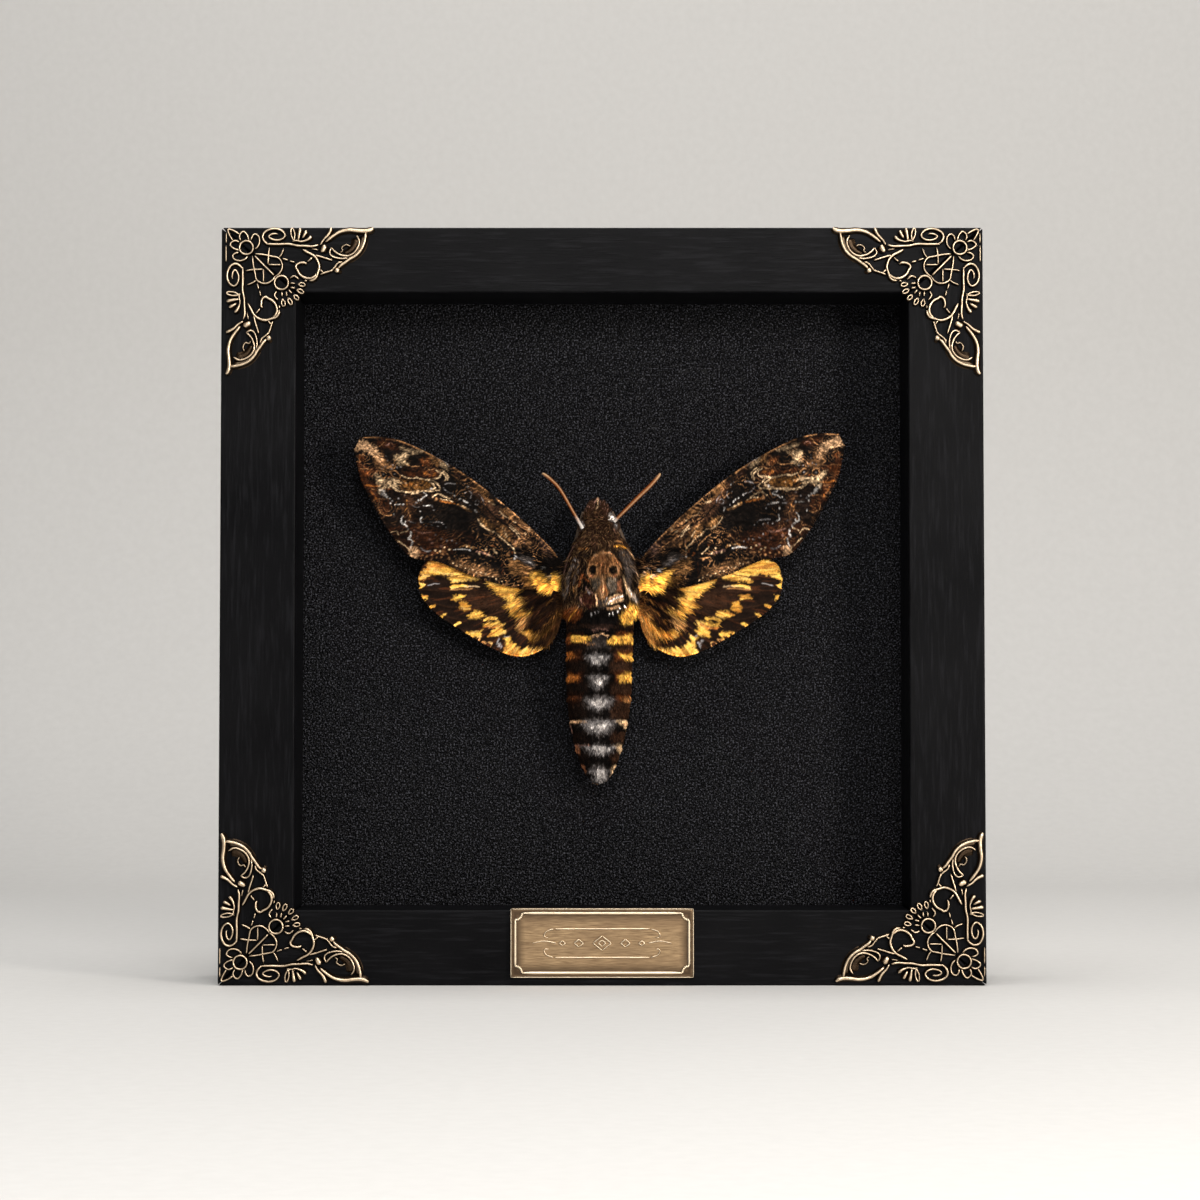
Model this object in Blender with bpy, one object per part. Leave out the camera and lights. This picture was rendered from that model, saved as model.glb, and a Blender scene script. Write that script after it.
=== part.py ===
"""Death's-head hawkmoth, spread and set in a black shadow box with openwork brass corners.

The case stands on its bottom rail with its open front facing -Y. All sizes are in metres.
"""

import math

import bmesh
import bpy
import numpy as np
from mathutils import Matrix, Vector

MM = 0.001

# Clearance between touching pieces
GAP = 0.3 * MM

# Case
CASE_WIDTH = 178.5 * MM
CASE_HEIGHT = 177.0 * MM
CASE_DEPTH = 32.0 * MM
SIDE_RAIL_WIDTH = 17.65 * MM
TOP_RAIL_WIDTH = 15.35 * MM
BOTTOM_RAIL_WIDTH = 17.5 * MM
BOARD_SETBACK = 20.0 * MM
RABBET_STEP = 5.0 * MM
BOARD_THICKNESS = 8.4 * MM
PANEL_THICKNESS = 2.5 * MM

# Brass trim
TRIM_THICKNESS = 1.4 * MM
PLATE_WIDTH = 42.6 * MM
PLATE_HEIGHT = 16.1 * MM
PLATE_CENTRE_HEIGHT = 9.9 * MM
PLATE_CORNER_RADIUS = 0.9 * MM
PLATE_BASE = 1.0 * MM
BORDER_INSET = 1.15 * MM
BORDER_WIDTH = 0.55 * MM
BORDER_NOTCH = 1.5 * MM

# Fastenings on the back
BUTTON_LENGTH = 13.0 * MM
BUTTON_WIDTH = 5.0 * MM
BUTTON_THICKNESS = 0.8 * MM
BUTTON_INSET = 6.3 * MM
BUTTON_SPREAD = 42.0 * MM
SCREW_RADIUS = 1.7 * MM
HANGER_LENGTH = 44.0 * MM
HANGER_WIDTH = 7.0 * MM
HANGER_INSET = 5.6 * MM
HANGER_TEETH = 11
HANGER_TOOTH = 1.6 * MM

# Moth's body
BODY_DEPTH = -4.2 * MM
BODY_SIDES = 20
SEGMENT_GROOVE = 0.03
GROOVE_REACH = 0.7
EYE_RADIUS = 1.7 * MM
EYE_FLATNESS = 0.75
EYE_SPREAD = 3.9 * MM
EYE_AHEAD = 0.6 * MM
ANTENNA_SIDES = 8
PALP_SIDES = 8
LEG_SIDES = 6
PAD_WIDTH = 4.4 * MM
PAD_HEIGHT = 12.0 * MM
PAD_RADIUS = 1.0 * MM
PAD_CENTRE_HEIGHT = 96.0 * MM

# Moth's wings
WING_THICKNESS = 0.6 * MM
WING_LIFT = 1.6 * MM
WING_DROOP = 1.2 * MM
DROOP_REACH = 18.0 * MM
WING_SPAN = 48.0 * MM
WING_ROOT = 9.7 * MM
WING_ROOT_HEIGHT = 97.0 * MM
WING_SLOPE = 0.55
WING_TURN = 0.5
WING_ROWS = 20
WING_COLUMNS = 5
FORE_DEPTH = -4.7 * MM
HIND_BEHIND_FORE = 1.0 * MM

FRONT = -CASE_DEPTH / 2
BACK = CASE_DEPTH / 2
BOARD_FACE = FRONT + BOARD_SETBACK

# Heights of the eyes and of the cuts between the body's lengths, in millimetres above the floor
EYE_HEIGHT = 107.6
NECK_HEIGHT = 105.2
WAIST_HEIGHT = 87.2
CHEST_HEIGHT = 95.0

# Height, half width, depth in front of the axis, depth behind it, in millimetres, tail to head
BODY_STATIONS = (
    (46.4, 0.8, 0.7, 0.7),
    (47.6, 2.4, 1.6, 1.6),
    (50.0, 4.1, 2.7, 2.7),
    (55.4, 6.0, 4.1, 4.3),
    (61.8, 7.3, 4.9, 5.1),
    (66.8, 7.9, 5.4, 5.6),
    (76.0, 8.2, 5.9, 5.9),
    (87.2, 8.3, 5.9, 5.9),
    (92.0, 8.9, 6.1, 5.8),
    (95.7, 9.1, 6.3, 5.8),
    (99.9, 8.4, 6.0, 5.6),
    (103.5, 6.7, 4.9, 4.7),
    (105.2, 5.5, 4.1, 4.0),
    (107.0, 4.8, 3.7, 3.4),
    (109.4, 4.4, 3.1, 2.9),
    (111.5, 3.2, 2.2, 2.1),
    (113.2, 1.7, 1.2, 1.2),
    (114.2, 0.6, 0.5, 0.5),
)

# Height and sideways place of the body's axis, in millimetres
AXIS_STATIONS = (
    (46.4, -0.8),
    (60.0, -0.8),
    (80.0, -0.6),
    (95.0, -0.4),
    (104.0, -0.5),
    (114.2, -1.3),
)

# Rear edges of the abdomen's rings, in millimetres above the floor
RING_EDGES = (50.1, 55.6, 61.9, 67.6, 72.4, 77.0, 81.7)

# Wing edges: distance from the body's axis and height, in millimetres, from root to tip
FORE_LEADING = (
    (9.7, 99.6),
    (12.4, 103.2),
    (21.6, 112.0),
    (33.0, 120.9),
    (44.8, 127.4),
    (51.5, 129.2),
    (56.7, 129.1),
)
FORE_TRAILING = (
    (9.7, 92.4),
    (20.0, 93.2),
    (30.0, 96.0),
    (38.0, 99.4),
    (45.0, 101.0),
    (50.0, 107.2),
    (53.5, 113.2),
    (56.3, 119.2),
    (57.9, 126.4),
)
HIND_LEADING = (
    (9.2, 93.4),
    (20.0, 97.8),
    (30.0, 100.2),
    (38.0, 100.7),
    (42.0, 98.3),
    (43.3, 95.0),
)
HIND_TRAILING = (
    (9.2, 86.6),
    (10.7, 81.7),
    (14.0, 78.4),
    (19.0, 76.8),
    (24.5, 78.3),
    (31.0, 81.8),
    (38.2, 86.4),
    (41.6, 89.8),
    (42.9, 92.6),
)

# Edge of a brass corner: distances along its two sides from the corner, in millimetres
CORNER_HALF_OUTLINE = (
    (35.8, 0.3),
    (33.9, 2.6),
    (32.2, 5.6),
    (29.7, 8.0),
    (27.6, 9.4),
    (26.6, 11.2),
    (24.2, 11.6),
    (21.6, 13.2),
    (19.3, 13.7),
    (19.4, 15.6),
    (18.0, 17.0),
)

# Openings of a brass corner: centre, half length, half width, and angle in degrees
CORNER_HALF_OPENINGS = (
    (28.2, 3.9, 3.9, 2.1, 150.0),
    (20.6, 9.3, 1.7, 2.2, 30.0),
    (13.0, 5.4, 1.9, 1.0, 170.0),
    (16.4, 11.0, 1.2, 1.9, 150.0),
    (10.6, 7.3, 1.2, 0.7, 30.0),
)
CORNER_MIDDLE_OPENINGS = (
    (5.3, 5.3, 1.3, 1.3, 0.0),
    (13.4, 13.4, 1.2, 1.2, 0.0),
)

# Straight edge of a brass corner, in millimetres from the case's own edge
CORNER_MARGIN = 0.3

# Share of a screw head's radius, and share of its rise
SCREW_PROFILE = ((1.0, 0.0), (0.92, 0.35), (0.6, 0.8), (0.25, 1.0))
SCREW_SIDES = 12

# Limbs: sideways place, height, depth and radius, in millimetres, from root to end
LEG_ROUTES = {
    "fore": ((3.5, 103.0, 1.6, 0.8), (6.4, 101.0, 2.3, 0.8), (5.2, 105.4, 2.6, 0.7), (3.4, 111.5, 2.9, 0.4)),
    "mid": ((4.0, 97.6, 2.7, 0.8), (7.9, 95.4, 2.1, 0.8), (7.6, 87.6, 2.2, 0.7), (7.2, 78.0, 2.8, 0.4)),
    "hind": ((3.6, 92.2, 2.8, 0.7), (5.9, 89.6, 2.8, 0.7), (5.0, 81.0, 2.9, 0.6), (4.4, 70.5, 3.1, 0.4)),
}
ANTENNA_ROUTE = (
    (4.3, 108.3, -6.6, 0.40),
    (6.0, 110.7, -7.0, 0.42),
    (9.6, 115.2, -7.3, 0.50),
    (12.2, 118.6, -7.3, 0.52),
    (13.7, 121.0, -7.0, 0.40),
    (14.3, 121.6, -6.8, 0.28),
)
PALP_ROUTE = (
    (1.5, 108.4, 0.5, 0.8),
    (1.7, 110.6, 0.0, 1.0),
    (1.4, 112.8, -1.2, 0.6),
)


def clear_scene():
    """Removes every object of the scene."""
    for item in list(bpy.data.objects):
        bpy.data.objects.remove(item, do_unlink=True)


def make_material(name, colour, roughness, metallic=0.0):
    """Makes a Principled material."""
    material = bpy.data.materials.new(name)
    material.use_nodes = True
    shader = material.node_tree.nodes["Principled BSDF"]
    shader.inputs["Base Color"].default_value = (*colour, 1.0)
    shader.inputs["Roughness"].default_value = roughness
    shader.inputs["Metallic"].default_value = metallic
    return material


def add_object(name, bm, material, smooth_angle=None):
    """Turns a bmesh into a named object with outward faces."""
    bmesh.ops.recalc_face_normals(bm, faces=bm.faces)
    mesh = bpy.data.meshes.new(name)
    bm.to_mesh(mesh)
    bm.free()
    if smooth_angle is not None:
        mesh.shade_smooth()
        mesh.set_sharp_from_angle(angle=math.radians(smooth_angle))
    mesh.materials.append(material)
    item = bpy.data.objects.new(name, mesh)
    bpy.context.scene.collection.objects.link(item)
    return item


def catmull_rom(points, count):
    """Samples a smooth curve through points, evenly along its length."""
    knots = np.asarray(points, dtype=float)
    first = 2 * knots[0] - knots[1]
    last = 2 * knots[-1] - knots[-2]
    padded = np.vstack([first, knots, last])
    fine = []
    steps = np.linspace(0.0, 1.0, 24, endpoint=False)[:, None]
    for k in range(len(padded) - 3):
        a, b, c, d = padded[k:k + 4]
        fine.append(0.5 * (2 * b + (c - a) * steps + (2 * a - 5 * b + 4 * c - d) * steps ** 2
                           + (3 * b - a - 3 * c + d) * steps ** 3))
    fine.append(knots[-1:])
    line = np.vstack(fine)
    travelled = np.concatenate([[0.0], np.cumsum(np.linalg.norm(np.diff(line, axis=0), axis=1))])
    wanted = np.linspace(0.0, travelled[-1], count)
    return np.stack([np.interp(wanted, travelled, line[:, k]) for k in range(line.shape[1])], axis=1)


def smooth_profile(stations, column, value):
    """Reads one column of a station table at a height, with an eased slope between stations."""
    heights = [row[0] for row in stations]
    levels = [row[column] for row in stations]
    if value <= heights[0]:
        return levels[0]
    for k in range(len(heights) - 1):
        if value <= heights[k + 1]:
            break
    else:
        return levels[-1]
    span = heights[k + 1] - heights[k]
    t = (value - heights[k]) / span
    here = (levels[k + 1] - levels[k]) / span
    before = (levels[k] - levels[k - 1]) / (heights[k] - heights[k - 1]) if k > 0 else here
    after = here
    if k + 2 < len(heights):
        after = (levels[k + 2] - levels[k + 1]) / (heights[k + 2] - heights[k + 1])
    start_slope = 0.5 * (before + here) * span
    end_slope = 0.5 * (here + after) * span
    return ((2 * t ** 3 - 3 * t ** 2 + 1) * levels[k] + (t ** 3 - 2 * t ** 2 + t) * start_slope
            + (3 * t ** 2 - 2 * t ** 3) * levels[k + 1] + (t ** 3 - t ** 2) * end_slope)


def axis_place(height):
    """Gives the body axis's sideways place, in metres, at a height in millimetres."""
    return smooth_profile(AXIS_STATIONS, 1, height) * MM


def bridge_rings(bm, rings):
    """Joins rings of vertices into a tube with closed ends."""
    for lower, upper in zip(rings, rings[1:]):
        for k in range(len(lower)):
            following = (k + 1) % len(lower)
            bm.faces.new((lower[k], lower[following], upper[following], upper[k]))
    bm.faces.new(rings[0][::-1])
    bm.faces.new(rings[-1])


def prism(bm, outline, near, far):
    """Extrudes a closed outline of (x, z) from one depth to another."""
    rings = [[bm.verts.new((x, y, z)) for x, z in outline] for y in (near, far)]
    bridge_rings(bm, rings)


def rounded_rectangle(width, height, radius, centre=(0.0, 0.0), steps=4):
    """Lists the outline of a rectangle with round corners."""
    outline = []
    for quarter, (sx, sz) in enumerate(((1, 1), (-1, 1), (-1, -1), (1, -1))):
        for step in range(steps + 1):
            angle = math.pi / 2 * (quarter + step / steps)
            outline.append((centre[0] + sx * (width / 2 - radius) + radius * math.cos(angle),
                            centre[1] + sz * (height / 2 - radius) + radius * math.sin(angle)))
    return outline


def build_rail(name, start, end, inward, width, start_share, end_share, material):
    """Builds one mitred rail with a rabbet along its inner back edge.

    start and end are the outer corners, inward points to the opening, and the shares say how far
    the mitre moves along the rail for each metre of inset.
    """
    start = Vector(start)
    end = Vector(end)
    inward = Vector(inward)
    along = (end - start).normalized()
    lip_back = BOARD_FACE - GAP
    section = ((0.0, FRONT), (width, FRONT), (width, lip_back),
               (width - RABBET_STEP, lip_back), (width - RABBET_STEP, BACK), (0.0, BACK))
    bm = bmesh.new()
    rings = []
    for corner, direction, share in ((start, along, start_share), (end, -along, end_share)):
        ring = []
        for inset, depth in section:
            place = corner + inward * inset + direction * (inset * share + GAP / 2)
            ring.append(bm.verts.new((place.x, depth, place.z)))
        rings.append(ring)
    bridge_rings(bm, rings)
    return add_object(name, bm, material)


def build_case(wood, leatherette, hardboard):
    """Builds the four rails, the covered board and the back panel."""
    half = CASE_WIDTH / 2
    low_left = (-half, 0.0, 0.0)
    low_right = (half, 0.0, 0.0)
    top_left = (-half, 0.0, CASE_HEIGHT)
    top_right = (half, 0.0, CASE_HEIGHT)
    share_low = SIDE_RAIL_WIDTH / BOTTOM_RAIL_WIDTH
    share_top = SIDE_RAIL_WIDTH / TOP_RAIL_WIDTH
    build_rail("rail_bottom", low_left, low_right, (0, 0, 1), BOTTOM_RAIL_WIDTH, share_low, share_low, wood)
    build_rail("rail_top", top_left, top_right, (0, 0, -1), TOP_RAIL_WIDTH, share_top, share_top, wood)
    for name, low, top, inward in (("left", low_left, top_left, (1, 0, 0)),
                                   ("right", low_right, top_right, (-1, 0, 0))):
        build_rail("rail_%s" % name, low, top, inward, SIDE_RAIL_WIDTH, 1 / share_low, 1 / share_top, wood)
    inset = RABBET_STEP - GAP
    left = -half + SIDE_RAIL_WIDTH - inset
    bottom = BOTTOM_RAIL_WIDTH - inset
    top = CASE_HEIGHT - TOP_RAIL_WIDTH + inset
    outline = ((left, bottom), (-left, bottom), (-left, top), (left, top))
    bm = bmesh.new()
    prism(bm, outline, BOARD_FACE, BOARD_FACE + BOARD_THICKNESS)
    add_object("mount_board", bm, leatherette)
    panel_face = BOARD_FACE + BOARD_THICKNESS + GAP
    bm = bmesh.new()
    prism(bm, outline, panel_face, panel_face + PANEL_THICKNESS)
    add_object("back_panel", bm, hardboard)


def oval(centre, half_length, half_width, angle, count):
    """Lists the outline of an oval, turned by an angle in degrees."""
    turn = math.radians(angle)
    outline = []
    for k in range(count):
        t = 2 * math.pi * k / count
        along = half_length * math.cos(t)
        across = half_width * math.sin(t)
        outline.append((centre[0] + along * math.cos(turn) - across * math.sin(turn),
                        centre[1] + along * math.sin(turn) + across * math.cos(turn)))
    return outline


def mirror_outline(points):
    """Mirrors an outline about the line that halves the corner."""
    return [(b, a) for a, b in reversed(points)]


def build_corner(name, side, upper, material):
    """Builds one openwork brass corner, flat against the front of the rails."""
    edge = catmull_rom(CORNER_HALF_OUTLINE, 26).tolist()
    straight = [(reach, CORNER_MARGIN) for reach in (12.0, 24.0)]
    outline = [(CORNER_MARGIN, CORNER_MARGIN)] + straight + edge
    outline += mirror_outline(edge) + mirror_outline(straight)
    openings = []
    for a, b, half_length, half_width, angle in CORNER_HALF_OPENINGS:
        hole = oval((a, b), half_length, half_width, angle, 10)
        openings += [hole, mirror_outline(hole)]
    for a, b, half_length, half_width, angle in CORNER_MIDDLE_OPENINGS:
        openings.append(oval((a, b), half_length, half_width, angle, 8))
    bm = bmesh.new()
    for loop in [outline] + openings:
        verts = []
        for a, b in loop:
            x = side * (CASE_WIDTH / 2 - a * MM)
            z = CASE_HEIGHT - b * MM if upper else b * MM
            verts.append(bm.verts.new((x, FRONT - GAP, z)))
        for k in range(len(verts)):
            bm.edges.new((verts[k], verts[(k + 1) % len(verts)]))
    bmesh.ops.triangle_fill(bm, use_beauty=True, edges=bm.edges[:])
    grown = bmesh.ops.extrude_face_region(bm, geom=bm.faces[:])
    moved = [part for part in grown["geom"] if isinstance(part, bmesh.types.BMVert)]
    bmesh.ops.translate(bm, vec=(0.0, -TRIM_THICKNESS, 0.0), verts=moved)
    return add_object(name, bm, material)


def notched_outline(inset):
    """Lists the plate's border line, with a hollow quarter circle cut from each corner."""
    half_width = PLATE_WIDTH / 2 - inset
    half_height = PLATE_HEIGHT / 2 - inset
    radius = BORDER_NOTCH
    outline = []
    steps = 4
    for quarter, (sx, sz) in enumerate(((1, 1), (-1, 1), (-1, -1), (1, -1))):
        centre = (sx * half_width, PLATE_CENTRE_HEIGHT + sz * half_height)
        for step in range(steps + 1):
            angle = math.pi * 1.5 + math.pi / 2 * (quarter - step / steps)
            outline.append((centre[0] + radius * math.cos(angle), centre[1] + radius * math.sin(angle)))
    return outline


def build_plate(material):
    """Builds the name plate with its raised border, standing on the bottom rail's front."""
    back = FRONT - GAP
    face = back - PLATE_BASE
    crest = back - TRIM_THICKNESS
    bm = bmesh.new()
    edge = rounded_rectangle(PLATE_WIDTH, PLATE_HEIGHT, PLATE_CORNER_RADIUS, (0.0, PLATE_CENTRE_HEIGHT))
    rear = [bm.verts.new((x, back, z)) for x, z in edge]
    front = [bm.verts.new((x, face, z)) for x, z in edge]
    outer = notched_outline(BORDER_INSET)
    inner = notched_outline(BORDER_INSET + BORDER_WIDTH)
    rings = [rear, front]
    rings += [[bm.verts.new((x, depth, z)) for x, z in line]
              for line, depth in ((outer, face), (outer, crest), (inner, crest), (inner, face))]
    for lower, upper in zip(rings, rings[1:]):
        for k in range(len(lower)):
            following = (k + 1) % len(lower)
            bm.faces.new((lower[k], lower[following], upper[following], upper[k]))
    bm.faces.new(rear[::-1])
    bm.faces.new(rings[-1])
    return add_object("name_plate", bm, material)


def build_fastenings(steel):
    """Builds the turn buttons, their screws and the toothed hanger on the back."""
    back = BACK + GAP
    half = CASE_WIDTH / 2
    places = []
    for spread in (-BUTTON_SPREAD, BUTTON_SPREAD):
        places.append((spread, CASE_HEIGHT - BUTTON_INSET, -90.0))
        places.append((spread, BUTTON_INSET, 90.0))
    for count, (x, z, angle) in enumerate(places, start=1):
        turn = Matrix.Rotation(math.radians(angle), 2)
        outline = []
        for px, pz in rounded_rectangle(BUTTON_LENGTH, BUTTON_WIDTH, BUTTON_WIDTH * 0.499,
                                        (BUTTON_LENGTH / 2 - BUTTON_WIDTH / 2, 0.0)):
            place = turn @ Vector((px, pz))
            outline.append((x + place.x, z + place.y))
        bm = bmesh.new()
        prism(bm, outline, back, back + BUTTON_THICKNESS - GAP)
        add_object("turn_button_%d" % count, bm, steel)
        bm = bmesh.new()
        rings = []
        for share, rise in SCREW_PROFILE:
            depth = back + BUTTON_THICKNESS + rise * (TRIM_THICKNESS - BUTTON_THICKNESS)
            ring = []
            for step in range(SCREW_SIDES):
                t = 2 * math.pi * step / SCREW_SIDES
                ring.append(bm.verts.new((x + share * SCREW_RADIUS * math.cos(t), depth,
                                          z + share * SCREW_RADIUS * math.sin(t))))
            rings.append(ring)
        bridge_rings(bm, rings)
        add_object("turn_screw_%d" % count, bm, steel, 40)
    top = CASE_HEIGHT - HANGER_INSET + HANGER_WIDTH / 2
    bottom = top - HANGER_WIDTH
    outline = [(-HANGER_LENGTH / 2, top), (-HANGER_LENGTH / 2, bottom)]
    toothed = HANGER_LENGTH * 0.6
    for tooth in range(HANGER_TEETH):
        left = -toothed / 2 + toothed * tooth / HANGER_TEETH
        outline.append((left, bottom))
        outline.append((left + toothed / HANGER_TEETH / 2, bottom + HANGER_TOOTH))
    outline += [(toothed / 2, bottom), (HANGER_LENGTH / 2, bottom), (HANGER_LENGTH / 2, top)]
    bm = bmesh.new()
    prism(bm, outline, back, back + BUTTON_THICKNESS)
    add_object("sawtooth_hanger", bm, steel)


def ring_groove(height):
    """Gives how much the abdomen draws in at a height, in millimetres, near a ring's rear edge."""
    draw = 0.0
    for edge in RING_EDGES:
        draw = max(draw, math.exp(-((height - edge) / GROOVE_REACH) ** 2))
    return 1.0 - SEGMENT_GROOVE * draw


def body_ring(bm, height, grooved=False):
    """Adds one ring of the body at a height in millimetres."""
    width = smooth_profile(BODY_STATIONS, 1, height) * MM
    front = smooth_profile(BODY_STATIONS, 2, height) * MM
    rear = smooth_profile(BODY_STATIONS, 3, height) * MM
    if grooved:
        width *= ring_groove(height)
        front *= ring_groove(height)
        rear *= ring_groove(height)
    ring = []
    for k in range(BODY_SIDES):
        t = 2 * math.pi * k / BODY_SIDES
        depth = math.sin(t) * (rear if math.sin(t) > 0 else front)
        ring.append(bm.verts.new((axis_place(height) + width * math.cos(t), BODY_DEPTH + depth, height * MM)))
    return ring


def build_body_length(name, heights, material, grooved=False):
    """Builds one length of the body between two cuts."""
    bm = bmesh.new()
    bridge_rings(bm, [body_ring(bm, height, grooved) for height in heights])
    return add_object(name, bm, material, 60)


def build_trunk(head_fur, thorax_fur, abdomen_fur):
    """Builds the abdomen, thorax and head, end to end with thin cuts."""
    tail = BODY_STATIONS[0][0]
    crown = BODY_STATIONS[-1][0]
    half_gap = GAP / MM / 2
    rings = [tail, tail + 0.8, tail + 1.8]
    rings += [edge + shift for edge in RING_EDGES for shift in (-1.2, 0.0, 1.2)]
    rings += [WAIST_HEIGHT - 2.2, WAIST_HEIGHT - half_gap]
    build_body_length("abdomen", rings, abdomen_fur, True)
    build_body_length("thorax", np.linspace(WAIST_HEIGHT + half_gap, NECK_HEIGHT - half_gap, 10), thorax_fur)
    return build_body_length("head", np.linspace(NECK_HEIGHT + half_gap, crown, 10), head_fur)


def ellipsoid(bm, centre, radii, rings=8, sides=12):
    """Adds an ellipsoid with its poles up and down."""
    loops = []
    for level in range(1, rings):
        fall = math.pi * level / rings
        loop = []
        for k in range(sides):
            t = 2 * math.pi * k / sides
            loop.append(bm.verts.new((centre[0] + radii[0] * math.sin(fall) * math.cos(t),
                                      centre[1] + radii[1] * math.sin(fall) * math.sin(t),
                                      centre[2] + radii[2] * math.cos(fall))))
        loops.append(loop)
    poles = [bm.verts.new((centre[0], centre[1], centre[2] + sign * radii[2])) for sign in (1, -1)]
    for upper, lower in zip(loops, loops[1:]):
        for k in range(sides):
            following = (k + 1) % sides
            bm.faces.new((upper[k], upper[following], lower[following], lower[k]))
    for k in range(sides):
        following = (k + 1) % sides
        bm.faces.new((poles[0], loops[0][following], loops[0][k]))
        bm.faces.new((poles[1], loops[-1][k], loops[-1][following]))


def build_eyes(head, material):
    """Builds both eyes and cuts their sockets into the head."""
    for name, side in (("left", -1), ("right", 1)):
        centre = (axis_place(EYE_HEIGHT) + side * EYE_SPREAD, BODY_DEPTH - EYE_AHEAD, EYE_HEIGHT * MM)
        radii = (EYE_FLATNESS * EYE_RADIUS, EYE_RADIUS, EYE_RADIUS)
        bm = bmesh.new()
        ellipsoid(bm, centre, radii)
        add_object("eye_%s" % name, bm, material, 60)
        bm = bmesh.new()
        ellipsoid(bm, centre, [radius + GAP for radius in radii])
        cutter = add_object("socket_cutter_%s" % name, bm, material)
        cutter.hide_render = True
        cutter.display_type = "WIRE"
        cut = head.modifiers.new("socket_%s" % name, "BOOLEAN")
        cut.operation = "DIFFERENCE"
        cut.solver = "EXACT"
        cut.object = cutter


def sweep(name, route, sides, count, material):
    """Builds a round limb along a smooth route of place and radius, in metres."""
    line = catmull_rom(route, count)
    bm = bmesh.new()
    rings = []
    for k in range(count):
        before = Vector(line[max(k - 1, 0)][:3])
        after = Vector(line[min(k + 1, count - 1)][:3])
        heading = (after - before).normalized()
        across = heading.cross(Vector((0, 1, 0))).normalized()
        above = across.cross(heading)
        ring = []
        for step in range(sides):
            t = 2 * math.pi * step / sides
            offset = (across * math.cos(t) + above * math.sin(t)) * line[k][3]
            ring.append(bm.verts.new(Vector(line[k][:3]) + offset))
        rings.append(ring)
    bridge_rings(bm, rings)
    return add_object(name, bm, material, 60)


def sided_route(route, side):
    """Places a limb's route on one side of the body, in metres."""
    placed = []
    for out, height, depth, radius in route:
        placed.append((axis_place(height) + side * out * MM, depth * MM, height * MM, radius * MM))
    return placed


def build_limbs(feeler, leg):
    """Builds both feelers, both palps and six folded legs."""
    for name, side in (("left", -1), ("right", 1)):
        sweep("antenna_%s" % name, sided_route(ANTENNA_ROUTE, side), ANTENNA_SIDES, 14, feeler)
        sweep("palp_%s" % name, sided_route(PALP_ROUTE, side), PALP_SIDES, 6, leg)
        for pair, route in LEG_ROUTES.items():
            sweep("%s_leg_%s" % (pair, name), sided_route(route, side), LEG_SIDES, 12, leg)


def wing_depth(out, height):
    """Gives the depth of the wings' common surface at a distance out and a height, in metres."""
    share = max((out - WING_ROOT) / WING_SPAN, 0.0)
    fold = (height - WING_ROOT_HEIGHT) - (out - WING_ROOT) * WING_SLOPE
    droop = WING_DROOP * (1.0 - math.exp(-(fold / DROOP_REACH) ** 2))
    return FORE_DEPTH - WING_LIFT * share + droop


def build_wing(name, leading, trailing, side, behind, material):
    """Builds one wing as a thin plate that follows the wings' common surface."""
    front_edge = catmull_rom(leading, WING_ROWS)
    rear_edge = catmull_rom(trailing, WING_ROWS)
    turn = Matrix.Rotation(math.radians(WING_TURN * side), 2)
    root = Vector(leading[0])
    bm = bmesh.new()
    layers = []
    for shift in (-WING_THICKNESS / 2, WING_THICKNESS / 2):
        rows = []
        for start, end in zip(front_edge, rear_edge):
            row = []
            for k in range(WING_COLUMNS + 1):
                flat = Vector(start + (end - start) * k / WING_COLUMNS)
                out, height = (root + turn @ (flat - root)) * MM
                depth = wing_depth(out, height) + behind + shift
                row.append(bm.verts.new((axis_place(CHEST_HEIGHT) + side * out, depth, height)))
            rows.append(row)
        layers.append(rows)
    for rows in layers:
        for lower, upper in zip(rows, rows[1:]):
            for k in range(WING_COLUMNS):
                bm.faces.new((lower[k], lower[k + 1], upper[k + 1], upper[k]))
    rims = []
    for rows in layers:
        rim = rows[0] + [row[-1] for row in rows[1:]]
        rim += rows[-1][-2::-1] + [row[0] for row in rows[-2:0:-1]]
        rims.append(rim)
    for k in range(len(rims[0])):
        following = (k + 1) % len(rims[0])
        bm.faces.new((rims[0][k], rims[0][following], rims[1][following], rims[1][k]))
    return add_object(name, bm, material, 40)


def build_wings(fore_scales, hind_scales):
    """Builds the four wings, the hind pair just behind the fore pair."""
    for name, side in (("left", -1), ("right", 1)):
        build_wing("forewing_%s" % name, FORE_LEADING, FORE_TRAILING, side, 0.0, fore_scales)
        build_wing("hindwing_%s" % name, HIND_LEADING, HIND_TRAILING, side, HIND_BEHIND_FORE, hind_scales)


def build_pad(material):
    """Builds the small pad that holds the moth off the board."""
    rear = max(smooth_profile(BODY_STATIONS, 3, height) for height in np.linspace(90.0, 102.0, 25)) * MM
    bm = bmesh.new()
    centre = (axis_place(CHEST_HEIGHT), PAD_CENTRE_HEIGHT)
    outline = rounded_rectangle(PAD_WIDTH, PAD_HEIGHT, PAD_RADIUS, centre)
    prism(bm, outline, BODY_DEPTH + rear + GAP, BOARD_FACE - GAP)
    return add_object("mount_pad", bm, material)


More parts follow.
